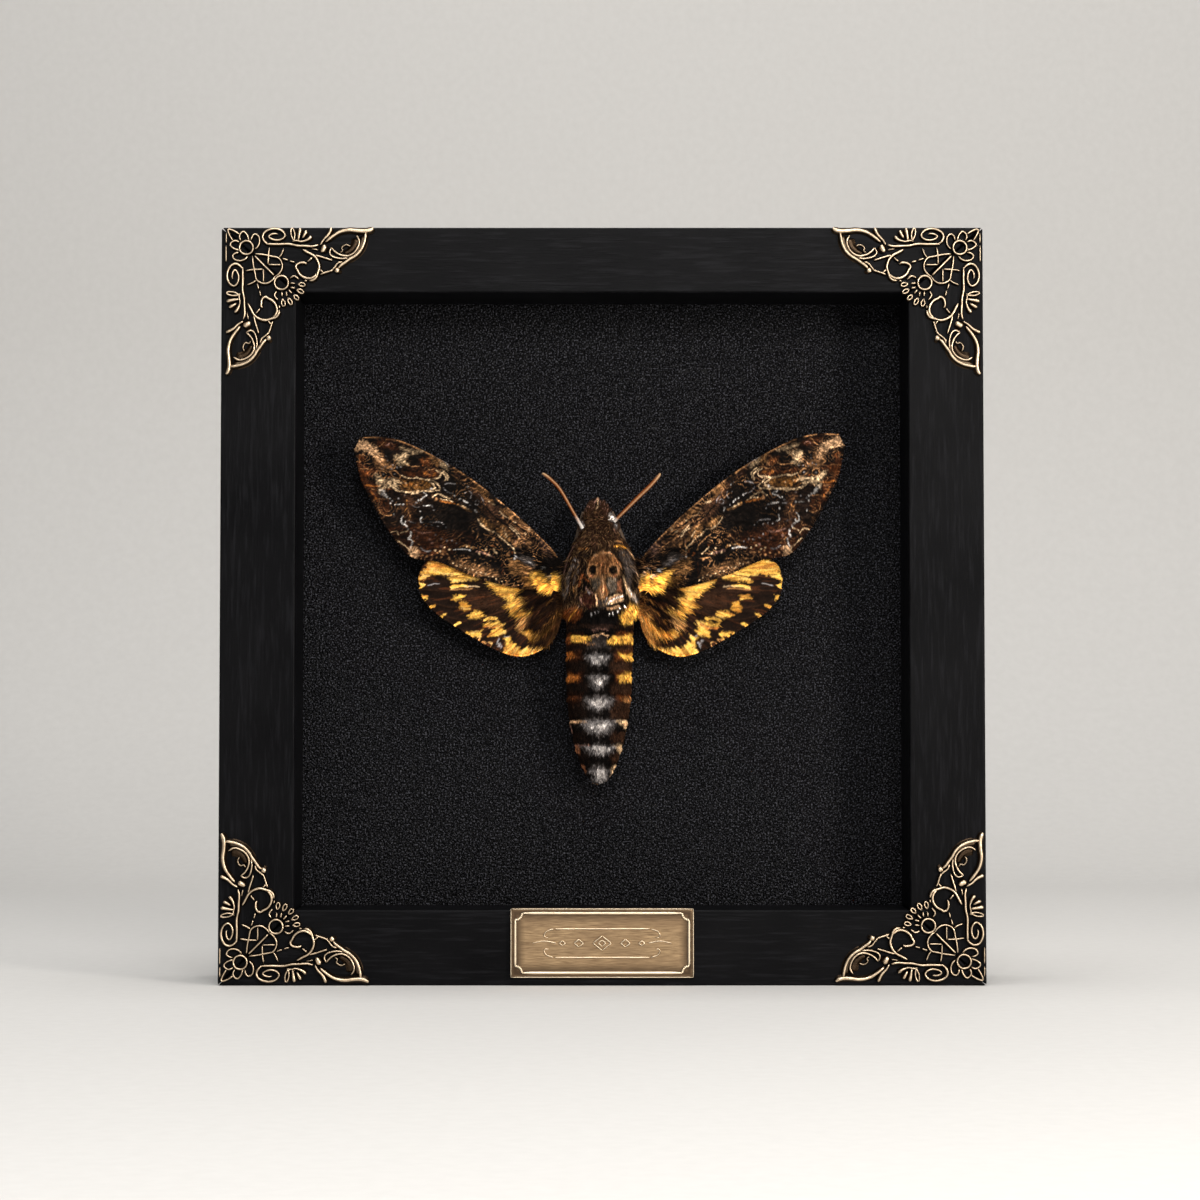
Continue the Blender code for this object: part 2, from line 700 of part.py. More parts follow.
def main():
    """Builds the whole piece."""
    clear_scene()
    wood = make_material("black_painted_wood", (0.014, 0.014, 0.016), 0.42)
    leatherette = make_material("pebbled_leatherette", (0.016, 0.016, 0.019), 0.6)
    hardboard = make_material("brown_hardboard", (0.16, 0.09, 0.045), 0.75)
    brass = make_material("antique_brass", (0.42, 0.33, 0.2), 0.38, 1.0)
    steel = make_material("zinc_plated_steel", (0.5, 0.5, 0.5), 0.35, 1.0)
    thorax_fur = make_material("dark_brown_fur", (0.05, 0.035, 0.025), 0.9)
    abdomen_fur = make_material("banded_fur", (0.25, 0.15, 0.03), 0.9)
    eye = make_material("dark_eye", (0.02, 0.012, 0.008), 0.2)
    feeler = make_material("brown_feeler", (0.3, 0.13, 0.06), 0.6)
    leg = make_material("leg_scales", (0.09, 0.055, 0.035), 0.85)
    fore_scales = make_material("mottled_forewing", (0.07, 0.045, 0.03), 0.7)
    hind_scales = make_material("yellow_hindwing", (0.6, 0.33, 0.03), 0.7)
    pad = make_material("cork_pad", (0.35, 0.2, 0.1), 0.9)
    build_case(wood, leatherette, hardboard)
    for name, side, upper in (("top_left", -1, True), ("top_right", 1, True),
                              ("bottom_left", -1, False), ("bottom_right", 1, False)):
        build_corner("corner_%s" % name, side, upper, brass)
    build_plate(brass)
    build_fastenings(steel)
    head = build_trunk(thorax_fur, thorax_fur, abdomen_fur)
    build_eyes(head, eye)
    build_limbs(feeler, leg)
    build_wings(fore_scales, hind_scales)
    build_pad(pad)


main()
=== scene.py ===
"""A death's-head hawkmoth with spread wings in a square black shadow box with brass corners."""
import logging
import math
from dataclasses import dataclass
from enum import Enum
from typing import Any, Callable, Iterable, Iterator, Sequence

import bmesh
import bpy
import numpy as np
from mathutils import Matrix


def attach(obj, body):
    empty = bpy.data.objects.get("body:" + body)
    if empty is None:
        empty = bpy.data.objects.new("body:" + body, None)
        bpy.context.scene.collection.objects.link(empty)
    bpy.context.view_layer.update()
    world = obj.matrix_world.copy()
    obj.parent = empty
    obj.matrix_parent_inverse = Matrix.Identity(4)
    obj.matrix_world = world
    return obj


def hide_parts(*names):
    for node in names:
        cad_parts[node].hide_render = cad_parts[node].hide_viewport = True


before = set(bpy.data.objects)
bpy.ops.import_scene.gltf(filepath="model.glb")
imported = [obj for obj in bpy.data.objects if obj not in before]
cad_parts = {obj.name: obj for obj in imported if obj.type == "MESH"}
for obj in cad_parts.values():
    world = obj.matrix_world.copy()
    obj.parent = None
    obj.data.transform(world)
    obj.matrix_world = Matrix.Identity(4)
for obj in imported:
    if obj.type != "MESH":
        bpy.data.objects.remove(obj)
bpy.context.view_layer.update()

LOG = logging.getLogger("moth_case")

MM = 0.001
BODY = "root"
MARKING = "Marking"
BAKE_MAP = "OFBake"
SAME_PLACE = 1e-6
FLAT_ANGLE = 0.01
SHARP_ANGLE = 0.5

Array = np.ndarray
Colour = tuple[float, float, float]
Material = bpy.types.Material
Places = tuple[tuple[float, ...], ...]
Points = Sequence[Sequence[float]]
Socket = bpy.types.NodeSocket

# The chart: flat places on the moth, in steps of the picture it was drawn on, as seen from the front.
CHART_MM = 0.23686
CHART_MIDDLE = 602.0
CHART_FOOT = 986.0
CHART_FOOT_HEIGHT = -0.986
AXIS_AT_WINGS = -0.4


def to_chart(x: Array, z: Array) -> Array:
    """Turns places across the case's front into chart steps.

    Args:
        x: Places from left to right, in millimetres.
        z: Heights in millimetres.

    Returns:
        One row of two chart steps for each place.
    """
    return np.stack([CHART_MIDDLE + x / CHART_MM, CHART_FOOT - (z - CHART_FOOT_HEIGHT) / CHART_MM], axis=-1)


def linear(red: float, green: float, blue: float) -> Colour:
    """Returns a paint chart's 0 to 255 colour as linear light."""
    parts = (np.array([red, green, blue]) / 255.0).tolist()
    return tuple(c / 12.92 if c <= 0.04045 else ((c + 0.055) / 1.055) ** 2.4 for c in parts)


class Tint(Enum):
    """The moth's colours, as linear light."""

    SOOT = linear(13, 9, 7)
    UMBER = linear(30, 19, 13)
    BISTRE = linear(56, 36, 24)
    RUFOUS = linear(96, 52, 27)
    RUST = linear(138, 76, 36)
    ORANGE = linear(196, 118, 52)
    TAN = linear(178, 128, 84)
    OCHRE = linear(192, 138, 84)
    CREAM = linear(222, 188, 146)
    WHITE = linear(230, 224, 218)
    GREY = linear(158, 153, 153)
    SLATE = linear(80, 72, 68)
    PINK = linear(150, 112, 98)
    YELLOW = linear(248, 192, 86)
    GOLD = linear(212, 150, 58)
    BUFF = linear(176, 120, 60)
    OLIVE = linear(108, 82, 54)
    MAROON = linear(62, 32, 24)
    LEMON = linear(255, 214, 134)
    SAND = linear(202, 160, 120)
    SALMON = linear(168, 110, 76)
    SAGE = linear(138, 125, 110)

    @property
    def light(self) -> Array:
        """The colour as an array."""
        return np.array(self.value)


class Side(Enum):
    """The two sides, as seen from the front."""

    LEFT = -1
    RIGHT = 1

    @property
    def word(self) -> str:
        """The side's name in the nodes' names."""
        return self.name.lower()


def held(values: Array) -> Array:
    """Returns the values held between 0 and 1."""
    return np.clip(values, 0, 1)


def unit(vectors: Array) -> Array:
    """Returns the vectors at a length of one."""
    return vectors / np.maximum(np.linalg.norm(vectors, axis=-1, keepdims=True), 1e-9)


def smooth_curve(points: Points, count: int) -> Array:
    """Runs an even Catmull-Rom curve through points.

    Args:
        points: The places that the curve passes through.
        count: How many places to return, evenly spaced along it.

    Returns:
        The places along the curve, one row each.
    """
    given = np.asarray(points, float)
    ends = np.vstack([2 * given[0] - given[1], given, 2 * given[-1] - given[-2]])
    step = np.linspace(0, 1, 25)[:-1, None]
    runs = []
    for a, b, c, d in zip(ends, ends[1:], ends[2:], ends[3:]):
        runs.append(0.5 * (2 * b + (c - a) * step + (2 * a - 5 * b + 4 * c - d) * step**2
                           + (3 * b - a - 3 * c + d) * step**3))
    fine = np.vstack(runs + [given[-1:]])
    way = np.concatenate([[0], np.cumsum(np.linalg.norm(np.diff(fine, axis=0), axis=1))])
    at = np.linspace(0, way[-1], count)
    return np.stack([np.interp(at, way, fine[:, k]) for k in range(fine.shape[1])], axis=1)


def profile(stations: Points, column: int, at: Array) -> Array:
    """Reads one column of a table of stations smoothly between its rows.

    Args:
        stations: Rows that start with the height, in rising order.
        column: Which column to read.
        at: The heights to read it at.

    Returns:
        The column's value at each height.
    """
    table = np.asarray(stations, float)
    fine = np.linspace(table[0, 0], table[-1, 0], 400)
    value = np.interp(fine, table[:, 0], table[:, column])
    for _ in range(6):
        value[1:-1] = (value[:-2] + 2 * value[1:-1] + value[2:]) / 4
    return np.interp(at, fine, value)


def cell_value(cell: Array, seed: int) -> Array:
    """Returns a repeatable number from 0 to 1 for each whole-number cell."""
    primes = np.array([374761393, 668265263, 2147483647], dtype=np.uint64)[: cell.shape[-1]]
    mix = (cell.astype(np.int64).astype(np.uint64) * primes).sum(-1) + np.uint64(seed * 69069 + 1)
    mix &= np.uint64(0xFFFFFFFF)
    mix = ((mix ^ (mix >> np.uint64(13))) * np.uint64(1274126177)) & np.uint64(0xFFFFFFFF)
    return ((mix ^ (mix >> np.uint64(16))) & np.uint64(0xFFFF)).astype(float) / 65535.0


def noise(places: Array, size: float, seed: int, octaves: int = 2) -> Array:
    """Soft noise from -1 to 1.

    Args:
        places: One row of coordinates for each place.
        size: How far apart its largest lumps are.
        seed: Which noise it is.
        octaves: How many finer layers are added up.

    Returns:
        One number for each place.
    """
    total = np.zeros(len(places))
    share = 0.0
    dims = places.shape[1]
    for octave in range(octaves):
        at = places / size * 2**octave + 17.3 * octave
        low = np.floor(at)
        part = at - low
        part = part * part * (3 - 2 * part)
        value = np.zeros(len(places))
        for corner in range(2**dims):
            offset = np.array([(corner >> k) & 1 for k in range(dims)])
            weight = np.prod(np.where(offset, part, 1 - part), axis=1)
            value += weight * cell_value(low + offset, seed + octave)
        total += (value * 2 - 1) * 0.6**octave
        share += 0.6**octave
    return total / share * 1.6


class Kind(Enum):
    """How a mark covers the moth."""

    LINE = "line"
    AREA = "area"
    SPOT = "spots"


@dataclass(frozen=True)
class Mark:
    """One mark on the moth, in chart steps."""

    kind: Kind
    tint: Tint
    size: float
    points: Places
    strength: float = 1.0


def area(tint: Tint, soft: float, points: Places, strength: float = 1.0) -> Mark:
    """Returns an area inside points, with an edge of the given softness."""
    return Mark(Kind.AREA, tint, soft, points, strength)


def block(tint: Tint, soft: float, low: Sequence[float], high: Sequence[float], strength: float = 1.0) -> Mark:
    """Returns an upright area between two corners."""
    return area(tint, soft, (tuple(low), (high[0], low[1]), tuple(high), (low[0], high[1])), strength)


def spots(tint: Tint, radius: float, points: Places, strength: float = 1.0) -> Mark:
    """Returns round spots at points."""
    return Mark(Kind.SPOT, tint, radius, points, strength)


def dotted(tint: Tint, radius: float, count: int, start: Sequence[float], step: Sequence[float], stray: float,
           beat: float, strength: float = 1.0) -> Mark:
    """Returns a row of spots that strays up and down.

    Args:
        tint: Their colour.
        radius: Their radius.
        count: How many there are.
        start: The first one's place.
        step: The way from one to the next.
        stray: How far they stray.
        beat: How quickly they stray up and down.
        strength: How strongly they show.

    Returns:
        The spots as one mark.
    """
    points = tuple((start[0] + step[0] * n, start[1] + step[1] * n + stray * math.sin(n * beat))
                   for n in range(count))
    return spots(tint, radius, points, strength)


def ring_points(across: float, down: float, radius: float, tall: float = 1.0) -> Places:
    """Returns a ring about a place, stretched downward by tall."""
    return tuple((across + radius * math.cos(t), down + radius * tall * math.sin(t))
                 for t in np.linspace(0, 2 * math.pi, 13)[:-1])


def rows_of(table: str, heads: int) -> Iterator[tuple[list[str], Places]]:
    """Reads a table's rows, where a row that starts with a space goes on from the last one.

    Args:
        table: Rows of words, with places after them.
        heads: How many words a row starts with.

    Yields:
        The row's words and its places.
    """
    for row in table.strip().replace("\n ", " ").split("\n"):
        words = row.split()
        yield words[:heads], tuple(tuple(map(float, place.split(","))) for place in words[heads:])


def drawn(table: str) -> tuple[Mark, ...]:
    """Reads a table with one mark to a row.

    Args:
        table: Rows of a kind, a colour, a size with the strength after a star, and places. A ring has its
            middle, and then its radius and how far it is stretched downward.

    Returns:
        The marks, in their order.
    """
    marks = []
    for (kind, tint, size), points in rows_of(table, 3):
        width, _, strength = size.partition("*")
        if kind == "ring":
            points = ring_points(*points[0], *points[1])
            kind, points = "line", points + points[:1]
        marks.append(Mark(Kind(kind), Tint[tint], float(width), points, float(strength or 1)))
    return tuple(marks)


class Painter:
    """Lays marks over a set of chart places."""

    def __init__(self, places: Array, ground: Tint, seed: int, waver: float = 1.0, root: Sequence[float] = (),
                 streak: float = 0.0, broken: float = 0.0) -> None:
        """Starts from one ground colour.

        Args:
            places: The chart places to colour, one row each.
            ground: The colour under every mark.
            seed: Which irregular edges the marks get.
            waver: How far, in chart steps, an edge strays.
            root: Where the wing's streaks run out from.
            streak: How far, in chart steps, an edge is drawn out along them.
            broken: How strongly an area is broken up by darker flecks.
        """
        self.all = np.arange(len(places))
        stray = np.stack([noise(places, 9.0, seed) + 0.5 * noise(places, 3.0, seed + 5),
                          noise(places, 9.0, seed + 11) + 0.5 * noise(places, 3.0, seed + 17)], axis=1)
        self.at = places + waver * stray
        self.brush = np.zeros(len(places))
        if len(root):
            away = places - np.array(root)
            far = np.linalg.norm(away, axis=1)
            fan = np.stack([np.arctan2(away[:, 1], away[:, 0]) % (2 * math.pi) * 100, far * 0.1], axis=1)
            self.brush = noise(fan, 2.6, seed + 51)
            self.at += away / far[:, None] * (self.brush * streak)[:, None]
            self.strand = noise(fan, 1.1, seed + 57)
        self.ragged = noise(places, 1.7, seed + 23)
        self.gaps = noise(places, 4.0, seed + 37)
        fleck = noise(places, 2.3, seed + 29) + 0.5 * self.brush
        self.cover = np.clip(1.15 - broken * (0.35 + fleck), 0.12, 1)
        self.colour = np.tile(ground.light, (len(places), 1))

    def mix(self, chosen: Array, tint: Tint, weight: Array) -> None:
        """Blends a colour over the chosen places by a weight from 0 to 1."""
        weight = held(weight)[:, None]
        self.colour[chosen] = self.colour[chosen] * (1 - weight) + tint.light * weight

    def near(self, points: Array, reach: float) -> Array:
        """Returns which places lie within reach of the points' box."""
        low, high = points.min(0) - reach, points.max(0) + reach
        return np.flatnonzero(((self.at >= low) & (self.at <= high)).all(1))

    @staticmethod
    def distance(at: Array, points: Array) -> Array:
        """Returns how far each place is from the line through the points."""
        best = np.full(len(at), 1e9)
        for start, end in zip(points, points[1:]):
            run = end - start
            share = held(((at - start) @ run) / max(run @ run, 1e-9))
            best = np.minimum(best, np.linalg.norm(at - start - share[:, None] * run, axis=1))
        return best

    @staticmethod
    def inside(at: Array, points: Array) -> Array:
        """Returns which places lie inside the closed line of points."""
        within = np.zeros(len(at), bool)
        for (x0, y0), (x1, y1) in zip(points, np.roll(points, -1, axis=0)):
            if y0 != y1:
                cuts = (at[:, 1] > y0) != (at[:, 1] > y1)
                within ^= cuts & (at[:, 0] < x0 + (at[:, 1] - y0) * (x1 - x0) / (y1 - y0))
        return within

    def lay(self, marks: Iterable[Mark], thin: float = 1.0, weights: dict[Tint, float] | None = None) -> None:
        """Lays the marks in order.

        Args:
            marks: The marks.
            thin: The share of their width that lines keep, and the lines break up below 1.
            weights: How much of its strength a colour keeps.
        """
        for mark in marks:
            points = np.asarray(mark.points, float)
            strength = mark.strength * (weights or {}).get(mark.tint, 1.0)
            if mark.kind is Kind.LINE and len(points) > 2:
                points = smooth_curve(points, 4 * len(points))
            chosen = self.near(points, mark.size * 2 + 3)
            if not len(chosen):
                continue
            at, ragged = self.at[chosen], self.ragged[chosen]
            if mark.kind is Kind.AREA:
                edge = self.distance(at, np.vstack([points, points[:1]]))
                edge = np.where(self.inside(at, points), edge, -edge)
                weight = held(0.5 + (edge + ragged * 0.8 * mark.size) / (2 * mark.size))
                if mark.tint not in (Tint.SOOT, Tint.UMBER, Tint.BISTRE):
                    weight = weight * self.cover[chosen]
            elif mark.kind is Kind.LINE:
                weight = 1.3 - (self.distance(at, points) * 2 / (mark.size * thin)) ** 2 * 0.9 + ragged * 0.35
                if thin < 1:
                    weight = held(weight) * np.clip(1.0 + 0.8 * self.gaps[chosen], 0.1, 1)
            else:
                away = np.min([np.linalg.norm(at - p, axis=1) for p in points], axis=0)
                weight = (1.5 - (away / (mark.size * thin)) ** 2 + ragged * 0.4) * thin
            self.mix(chosen, mark.tint, weight if strength >= 1 else held(weight) * strength)


def grid_faces(rows: int, columns: int, closed: bool = False, flip: bool = False) -> Array:
    """Numbers the corners of the faces between a grid's vertices.

    Args:
        rows: How many rows of vertices the grid has.
        columns: How many vertices a row has.
        closed: True where each row runs round to its start.
        flip: True to turn the faces over.

    Returns:
        Four vertex numbers for each face.
    """
    index = np.arange(rows * columns).reshape(rows, columns)
    if closed:
        index = np.hstack([index, index[:, :1]])
    quads = np.stack([index[:-1, :-1], index[:-1, 1:], index[1:, 1:], index[1:, :-1]], axis=-1).reshape(-1, 4)
    return quads[:, (0, 3, 2, 1)] if flip else quads


def circle(count: int) -> Array:
    """Returns places evenly round a circle with a radius of one."""
    turn = np.linspace(0, 2 * math.pi, count + 1)[:-1]
    return np.stack([np.cos(turn), np.sin(turn)], axis=1)


FRONTWARD = np.array([0.0, -1.0, 0.0])


class Soup:
    """Gathers the vertices and faces of one piece, in millimetres."""

    def __init__(self) -> None:
        """Starts with nothing."""
        self.places: list[Array] = []
        self.faces: dict[int, list[Array]] = {}
        self.count = 0

    def add(self, places: Array, *faces: Array) -> None:
        """Adds vertices, and faces that number them from 0."""
        self.places.append(np.asarray(places, float))
        for group in faces:
            group = np.asarray(group)
            self.faces.setdefault(group.shape[1], []).append(group + self.count)
        self.count += len(places)

    def mesh(self, name: str) -> bpy.types.Mesh:
        """Returns everything gathered as one mesh in metres."""
        mesh = bpy.data.meshes.new(name)
        places = np.vstack(self.places) * MM
        groups = [np.vstack(self.faces[size]) for size in sorted(self.faces)]
        sizes = np.concatenate([np.full(len(group), group.shape[1]) for group in groups])
        corners = np.concatenate([group.ravel() for group in groups])
        mesh.vertices.add(len(places))
        mesh.vertices.foreach_set("co", places.ravel())
        mesh.loops.add(len(corners))
        mesh.loops.foreach_set("vertex_index", corners)
        mesh.polygons.add(len(sizes))
        mesh.polygons.foreach_set("loop_start", np.concatenate([[0], np.cumsum(sizes)[:-1]]))
        mesh.update(calc_edges=True)
        return mesh

    def sweep(self, route: Array, section: Callable[[float], Array]) -> None:
        """Adds a closed bar along a route, with the top of its section toward the case's front.

        Args:
            route: The middle line, one row of three coordinates for each ring.
            section: Gives the ring's corners at a share of the way, as rows of across and up.
        """
        along = unit(np.gradient(route, axis=0))
        lift = unit(FRONTWARD - along * (along @ FRONTWARD)[:, None])
        across = np.cross(along, lift)
        rings = []
        for place, a, b, share in zip(route, across, lift, np.linspace(0, 1, len(route))):
            corners = section(share)
            rings.append(place + a * corners[:, :1] + b * corners[:, 1:])
        first = np.arange(len(rings[0]))[None]
        self.add(np.vstack(rings), grid_faces(len(rings), len(rings[0]), closed=True), first[:, ::-1],
                 first + len(rings[0]) * (len(rings) - 1))


def paint(mesh: bpy.types.Mesh, colours: Array) -> None:
    """Stores one linear colour for each vertex."""
    layer = mesh.color_attributes.new(MARKING, "FLOAT_COLOR", "POINT")
    layer.data.foreach_set("color", np.column_stack([colours, np.ones(len(colours))]).ravel())


def unwrap(mesh: bpy.types.Mesh, spots_on_map: Array) -> None:
    """Stores one place on the bake map for each vertex."""
    corners = np.empty(len(mesh.loops), dtype=np.int32)
    mesh.loops.foreach_get("vertex_index", corners)
    mesh.uv_layers.new(name=BAKE_MAP).data.foreach_set("uv", spots_on_map[corners].ravel())


def piece(mesh: bpy.types.Mesh, material: Material, stands_for: Sequence[str] = ()) -> bpy.types.Object:
    """Makes a mesh into a piece that rides with the case.

    Args:
        mesh: Its mesh, whose name the piece takes.
        material: Its finish.
        stands_for: The nodes that it replaces.

    Returns:
        The piece.
    """
    made = bpy.data.objects.new(mesh.name, mesh)
    bpy.context.scene.collection.objects.link(made)
    mesh.materials.clear()
    mesh.materials.append(material)
    mesh.polygons.foreach_set("use_smooth", np.ones(len(mesh.polygons), bool))
    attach(made, BODY)
    if stands_for:
        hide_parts(*stands_for)
    LOG.info("%s: %d faces", made.name, len(mesh.polygons))
    return made


def softened(node: str, name: str, material: Material, width: float) -> bpy.types.Object:
    """Replaces a node by a copy of its shape with rounded edges.

    Args:
        node: The node to copy.
        name: The new piece's name.
        material: Its finish.
        width: How wide the rounding is, in millimetres.

    Returns:
        The piece.
    """
    shape = bmesh.new()
    shape.from_mesh(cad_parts[node].data)
    bmesh.ops.remove_doubles(shape, verts=shape.verts, dist=SAME_PLACE)
    bmesh.ops.dissolve_limit(shape, angle_limit=FLAT_ANGLE, verts=shape.verts, edges=shape.edges)
    sharp = [e for e in shape.edges if e.is_manifold and e.calc_face_angle(0) > SHARP_ANGLE]
    bmesh.ops.bevel(shape, geom=sharp, offset=width * MM, segments=3, profile=0.5, affect="EDGES",
                    clamp_overlap=True)
    mesh = bpy.data.meshes.new(name)
    shape.to_mesh(mesh)
    shape.free()
    made = piece(mesh, material, (node,))
    made.modifiers.new("even_shading", "WEIGHTED_NORMAL")
    return made


def dress(nodes: Iterable[str], finish: Material) -> None:
    """Gives nodes that keep their own shape a finish."""
    for node in nodes:
        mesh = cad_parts[node].data
        if mesh.materials:
            for number in range(len(mesh.materials)):
                mesh.materials[number] = finish
        else:
            mesh.materials.append(finish)


class Nodes:
    """Builds one material's node tree."""

    def __init__(self, name: str) -> None:
        """Starts a material with only its output."""
        self.material = bpy.data.materials.new(name)
        self.material.use_nodes = True
        self.tree = self.material.node_tree
        self.tree.nodes.clear()
        self.output = self.tree.nodes.new("ShaderNodeOutputMaterial")

    def add(self, kind: str, inputs: dict[Any, Any] | None = None, **settings: Any) -> bpy.types.Node:
        """Adds a node.

        Args:
            kind: The node's type.
            inputs: Values or other nodes' sockets, by input name or number.
            **settings: The node's own settings.

        Returns:
            The node.
        """
        node = self.tree.nodes.new(kind)
        for key, value in settings.items():
            setattr(node, key, value)
        for key, value in (inputs or {}).items():
            if isinstance(value, Socket):
                self.tree.links.new(value, node.inputs[key])
            else:
                node.inputs[key].default_value = value
        return node

    def coordinates(self, stretch: Sequence[float] = (1, 1, 1)) -> Socket:
        """Returns object coordinates in millimetres, divided by a stretch."""
        source = self.add("ShaderNodeTexCoord").outputs["Object"]
        return self.add("ShaderNodeMapping", {"Vector": source, "Scale": [1 / MM / s for s in stretch]}).outputs[0]

    def noise(self, vector: Socket, scale: float, detail: float = 3.0) -> Socket:
        """Returns noise with the given number of lumps for each millimetre."""
        return self.add("ShaderNodeTexNoise", {"Vector": vector, "Scale": scale, "Detail": detail}).outputs[0]

    def blend(self, factor: Any, first: Any, second: Any, way: str = "MIX") -> Socket:
        """Returns a mix of two colours."""
        node = self.add("ShaderNodeMix", data_type="RGBA", blend_type=way)
        for socket, value in zip([node.inputs[0], node.inputs[6], node.inputs[7]], [factor, first, second]):
            if isinstance(value, Socket):
                self.tree.links.new(value, socket)
            else:
                socket.default_value = value if isinstance(value, float) else (*value, 1.0)
        return node.outputs[2]

    def calc(self, way: str, *values: Any) -> Socket:
        """Returns the outcome of one kind of arithmetic on values."""
        return self.add("ShaderNodeMath", dict(enumerate(values)), operation=way).outputs[0]

    def span(self, value: Socket, low: float, high: float, to_low: float = 0.0,
             to_high: float = 1.0) -> Socket:
        """Returns a value stretched from one range to another, and held inside it."""
        return self.add("ShaderNodeMapRange", {0: value, 1: low, 2: high, 3: to_low, 4: to_high}).outputs[0]

    def bump(self, height: Socket, depth: float, strength: float = 1.0,
             normal: Socket | None = None) -> Socket:
        """Returns a normal raised by a height, with its depth in millimetres."""
        inputs = {"Height": height, "Distance": depth * MM, "Strength": strength}
        if normal is not None:
            inputs["Normal"] = normal
        return self.add("ShaderNodeBump", inputs).outputs[0]

    def finish(self, **inputs: Any) -> Material:
        """Adds the surface with its inputs, named with _ for a space, and returns the material."""
        named = {key.replace("_", " "): value for key, value in inputs.items()}
        if "Base Color" in named and not isinstance(named["Base Color"], Socket):
            named["Base Color"] = (*named["Base Color"], 1.0)
        surface = self.add("ShaderNodeBsdfPrincipled", named)
        self.tree.links.new(surface.outputs[0], self.output.inputs["Surface"])
        return self.material


@dataclass(frozen=True)
class BlackPaint:
    """Satin black paint over fine open grain, which runs along the rail."""

    name: str = "black_paint"
    along: int = 0
    paint: Colour = (0.0022, 0.0022, 0.0027)
    worn: Colour = (0.0042, 0.0042, 0.0048)
    streaks: Colour = (0.009, 0.009, 0.0105)

    def material(self) -> Material:
        """Returns the finish as a material."""
        nodes = Nodes(self.name)
        stretch = [1.0, 1.0, 1.0]
        stretch[self.along] = 14.0
        grain = nodes.noise(nodes.coordinates(stretch), 1.6, 4.0)
        pores = nodes.span(nodes.noise(nodes.coordinates(stretch), 3.4, 2.0), 0.56, 0.70)
        even = nodes.coordinates()
        cloud = nodes.noise(even, 0.05, 3.0)
        speck = nodes.noise(even, 6.0, 2.0)
        colour = nodes.blend(nodes.span(cloud, 0.35, 0.7), self.paint, self.worn)
        colour = nodes.blend(nodes.span(grain, 0.5, 0.72, 0.0, 0.8), colour, self.streaks)
        colour = nodes.blend(nodes.span(speck, 0.62, 0.74, 0.0, 0.5), colour, (0.016, 0.016, 0.017))
        normal = nodes.bump(grain, 0.05, 0.35)
        normal = nodes.bump(pores, 0.04, 0.3, normal)
        normal = nodes.bump(speck, 0.03, 0.35, normal)
        return nodes.finish(Base_Color=colour, Roughness=nodes.span(speck, 0.3, 0.7, 0.36, 0.5),
                            Specular_IOR_Level=0.055, Normal=normal)


@dataclass(frozen=True)
class Leatherette:
    """Dull black leatherette with fine pebbles, painted shade in the creases between them and painted highlight
    specks.
    """

    name: str = "leatherette"
    pebbles: float = 2.0
    colour: Colour = (0.003, 0.003, 0.0037)

    def material(self) -> Material:
        """Returns the finish as a material."""
        nodes = Nodes(self.name)
        even = nodes.coordinates()
        bend = nodes.add("ShaderNodeVectorMath", {0: even, 1: nodes.add(
            "ShaderNodeTexNoise", {"Vector": even, "Scale": 0.9, "Detail": 2.0}).outputs["Color"]},
            operation="ADD").outputs[0]
        cells = nodes.add("ShaderNodeTexVoronoi", {"Vector": bend, "Scale": self.pebbles, "Smoothness": 0.5},
                          feature="SMOOTH_F1").outputs["Distance"]
        fine = nodes.noise(even, 2.5, 2.0)
        # The creases between the pebbles are painted near-black as shade.
        crease_shade = nodes.span(cells, 0.25, 0.62)
        colour = nodes.blend(crease_shade, self.colour, (0.0008, 0.0008, 0.001))
        # Pale specks from fine noise are painted highlights on the pebbles.
        colour = nodes.blend(nodes.span(fine, 0.54, 0.66), colour, (0.056, 0.057, 0.068))
        height = nodes.span(cells, 0.1, 0.7, 1.0, 0.0)
        normal = nodes.bump(fine, 0.14, 0.8, nodes.bump(height, 0.35, 1.0))
        return nodes.finish(Base_Color=colour, Roughness=nodes.span(fine, 0.3, 0.7, 0.34, 0.5),
                            Specular_IOR_Level=0.085, Normal=normal)


@dataclass(frozen=True)
class AgedBrass:
    """Brass, dark with patina in its hollows and brighter on its worn raised crests, with a painted highlight on the
    faces that point to the front and painted shade on the flanks.
    """

    name: str = "aged_brass"
    bright: Colour = (0.87, 0.68, 0.47)
    dull: Colour = (0.055, 0.036, 0.022)
    rough: float = 0.33
    low: float = -16.5
    high: float = -16.95

    def material(self) -> Material:
        """Returns the finish as a material."""
        nodes = Nodes(self.name)
        even = nodes.coordinates()
        facing = nodes.add("ShaderNodeSeparateXYZ", {0: nodes.add("ShaderNodeNewGeometry").outputs["Normal"]})
        # Faces that point to the front are painted as lit and the flanks as shaded: a painted highlight and painted
        # shade.
        front = nodes.span(facing.outputs[1], -0.3, -0.8)
        place = nodes.add("ShaderNodeSeparateXYZ", {0: even}).outputs[1]
        front = nodes.calc("MULTIPLY", front, nodes.span(place, self.low, self.high))
        tarnish = nodes.noise(even, 0.7, 4.0)
        fleck = nodes.noise(even, 3.5, 3.0)
        # The bright colour goes only where a front-facing face is also raised: worn crests under a painted highlight.
        worn = nodes.calc("MULTIPLY", front, nodes.span(tarnish, 0.3, 0.62, 0.6, 1.0))
        colour = nodes.blend(worn, self.dull, self.bright)
        colour = nodes.blend(nodes.span(fleck, 0.55, 0.75, 0.0, 0.45), colour, (0.16, 0.10, 0.055))
        rough = nodes.span(fleck, 0.3, 0.7, self.rough - 0.06, self.rough + 0.18)
        normal = nodes.bump(fleck, 0.05, 0.4)
        return nodes.finish(Base_Color=colour, Metallic=1.0, Roughness=rough, Normal=normal)


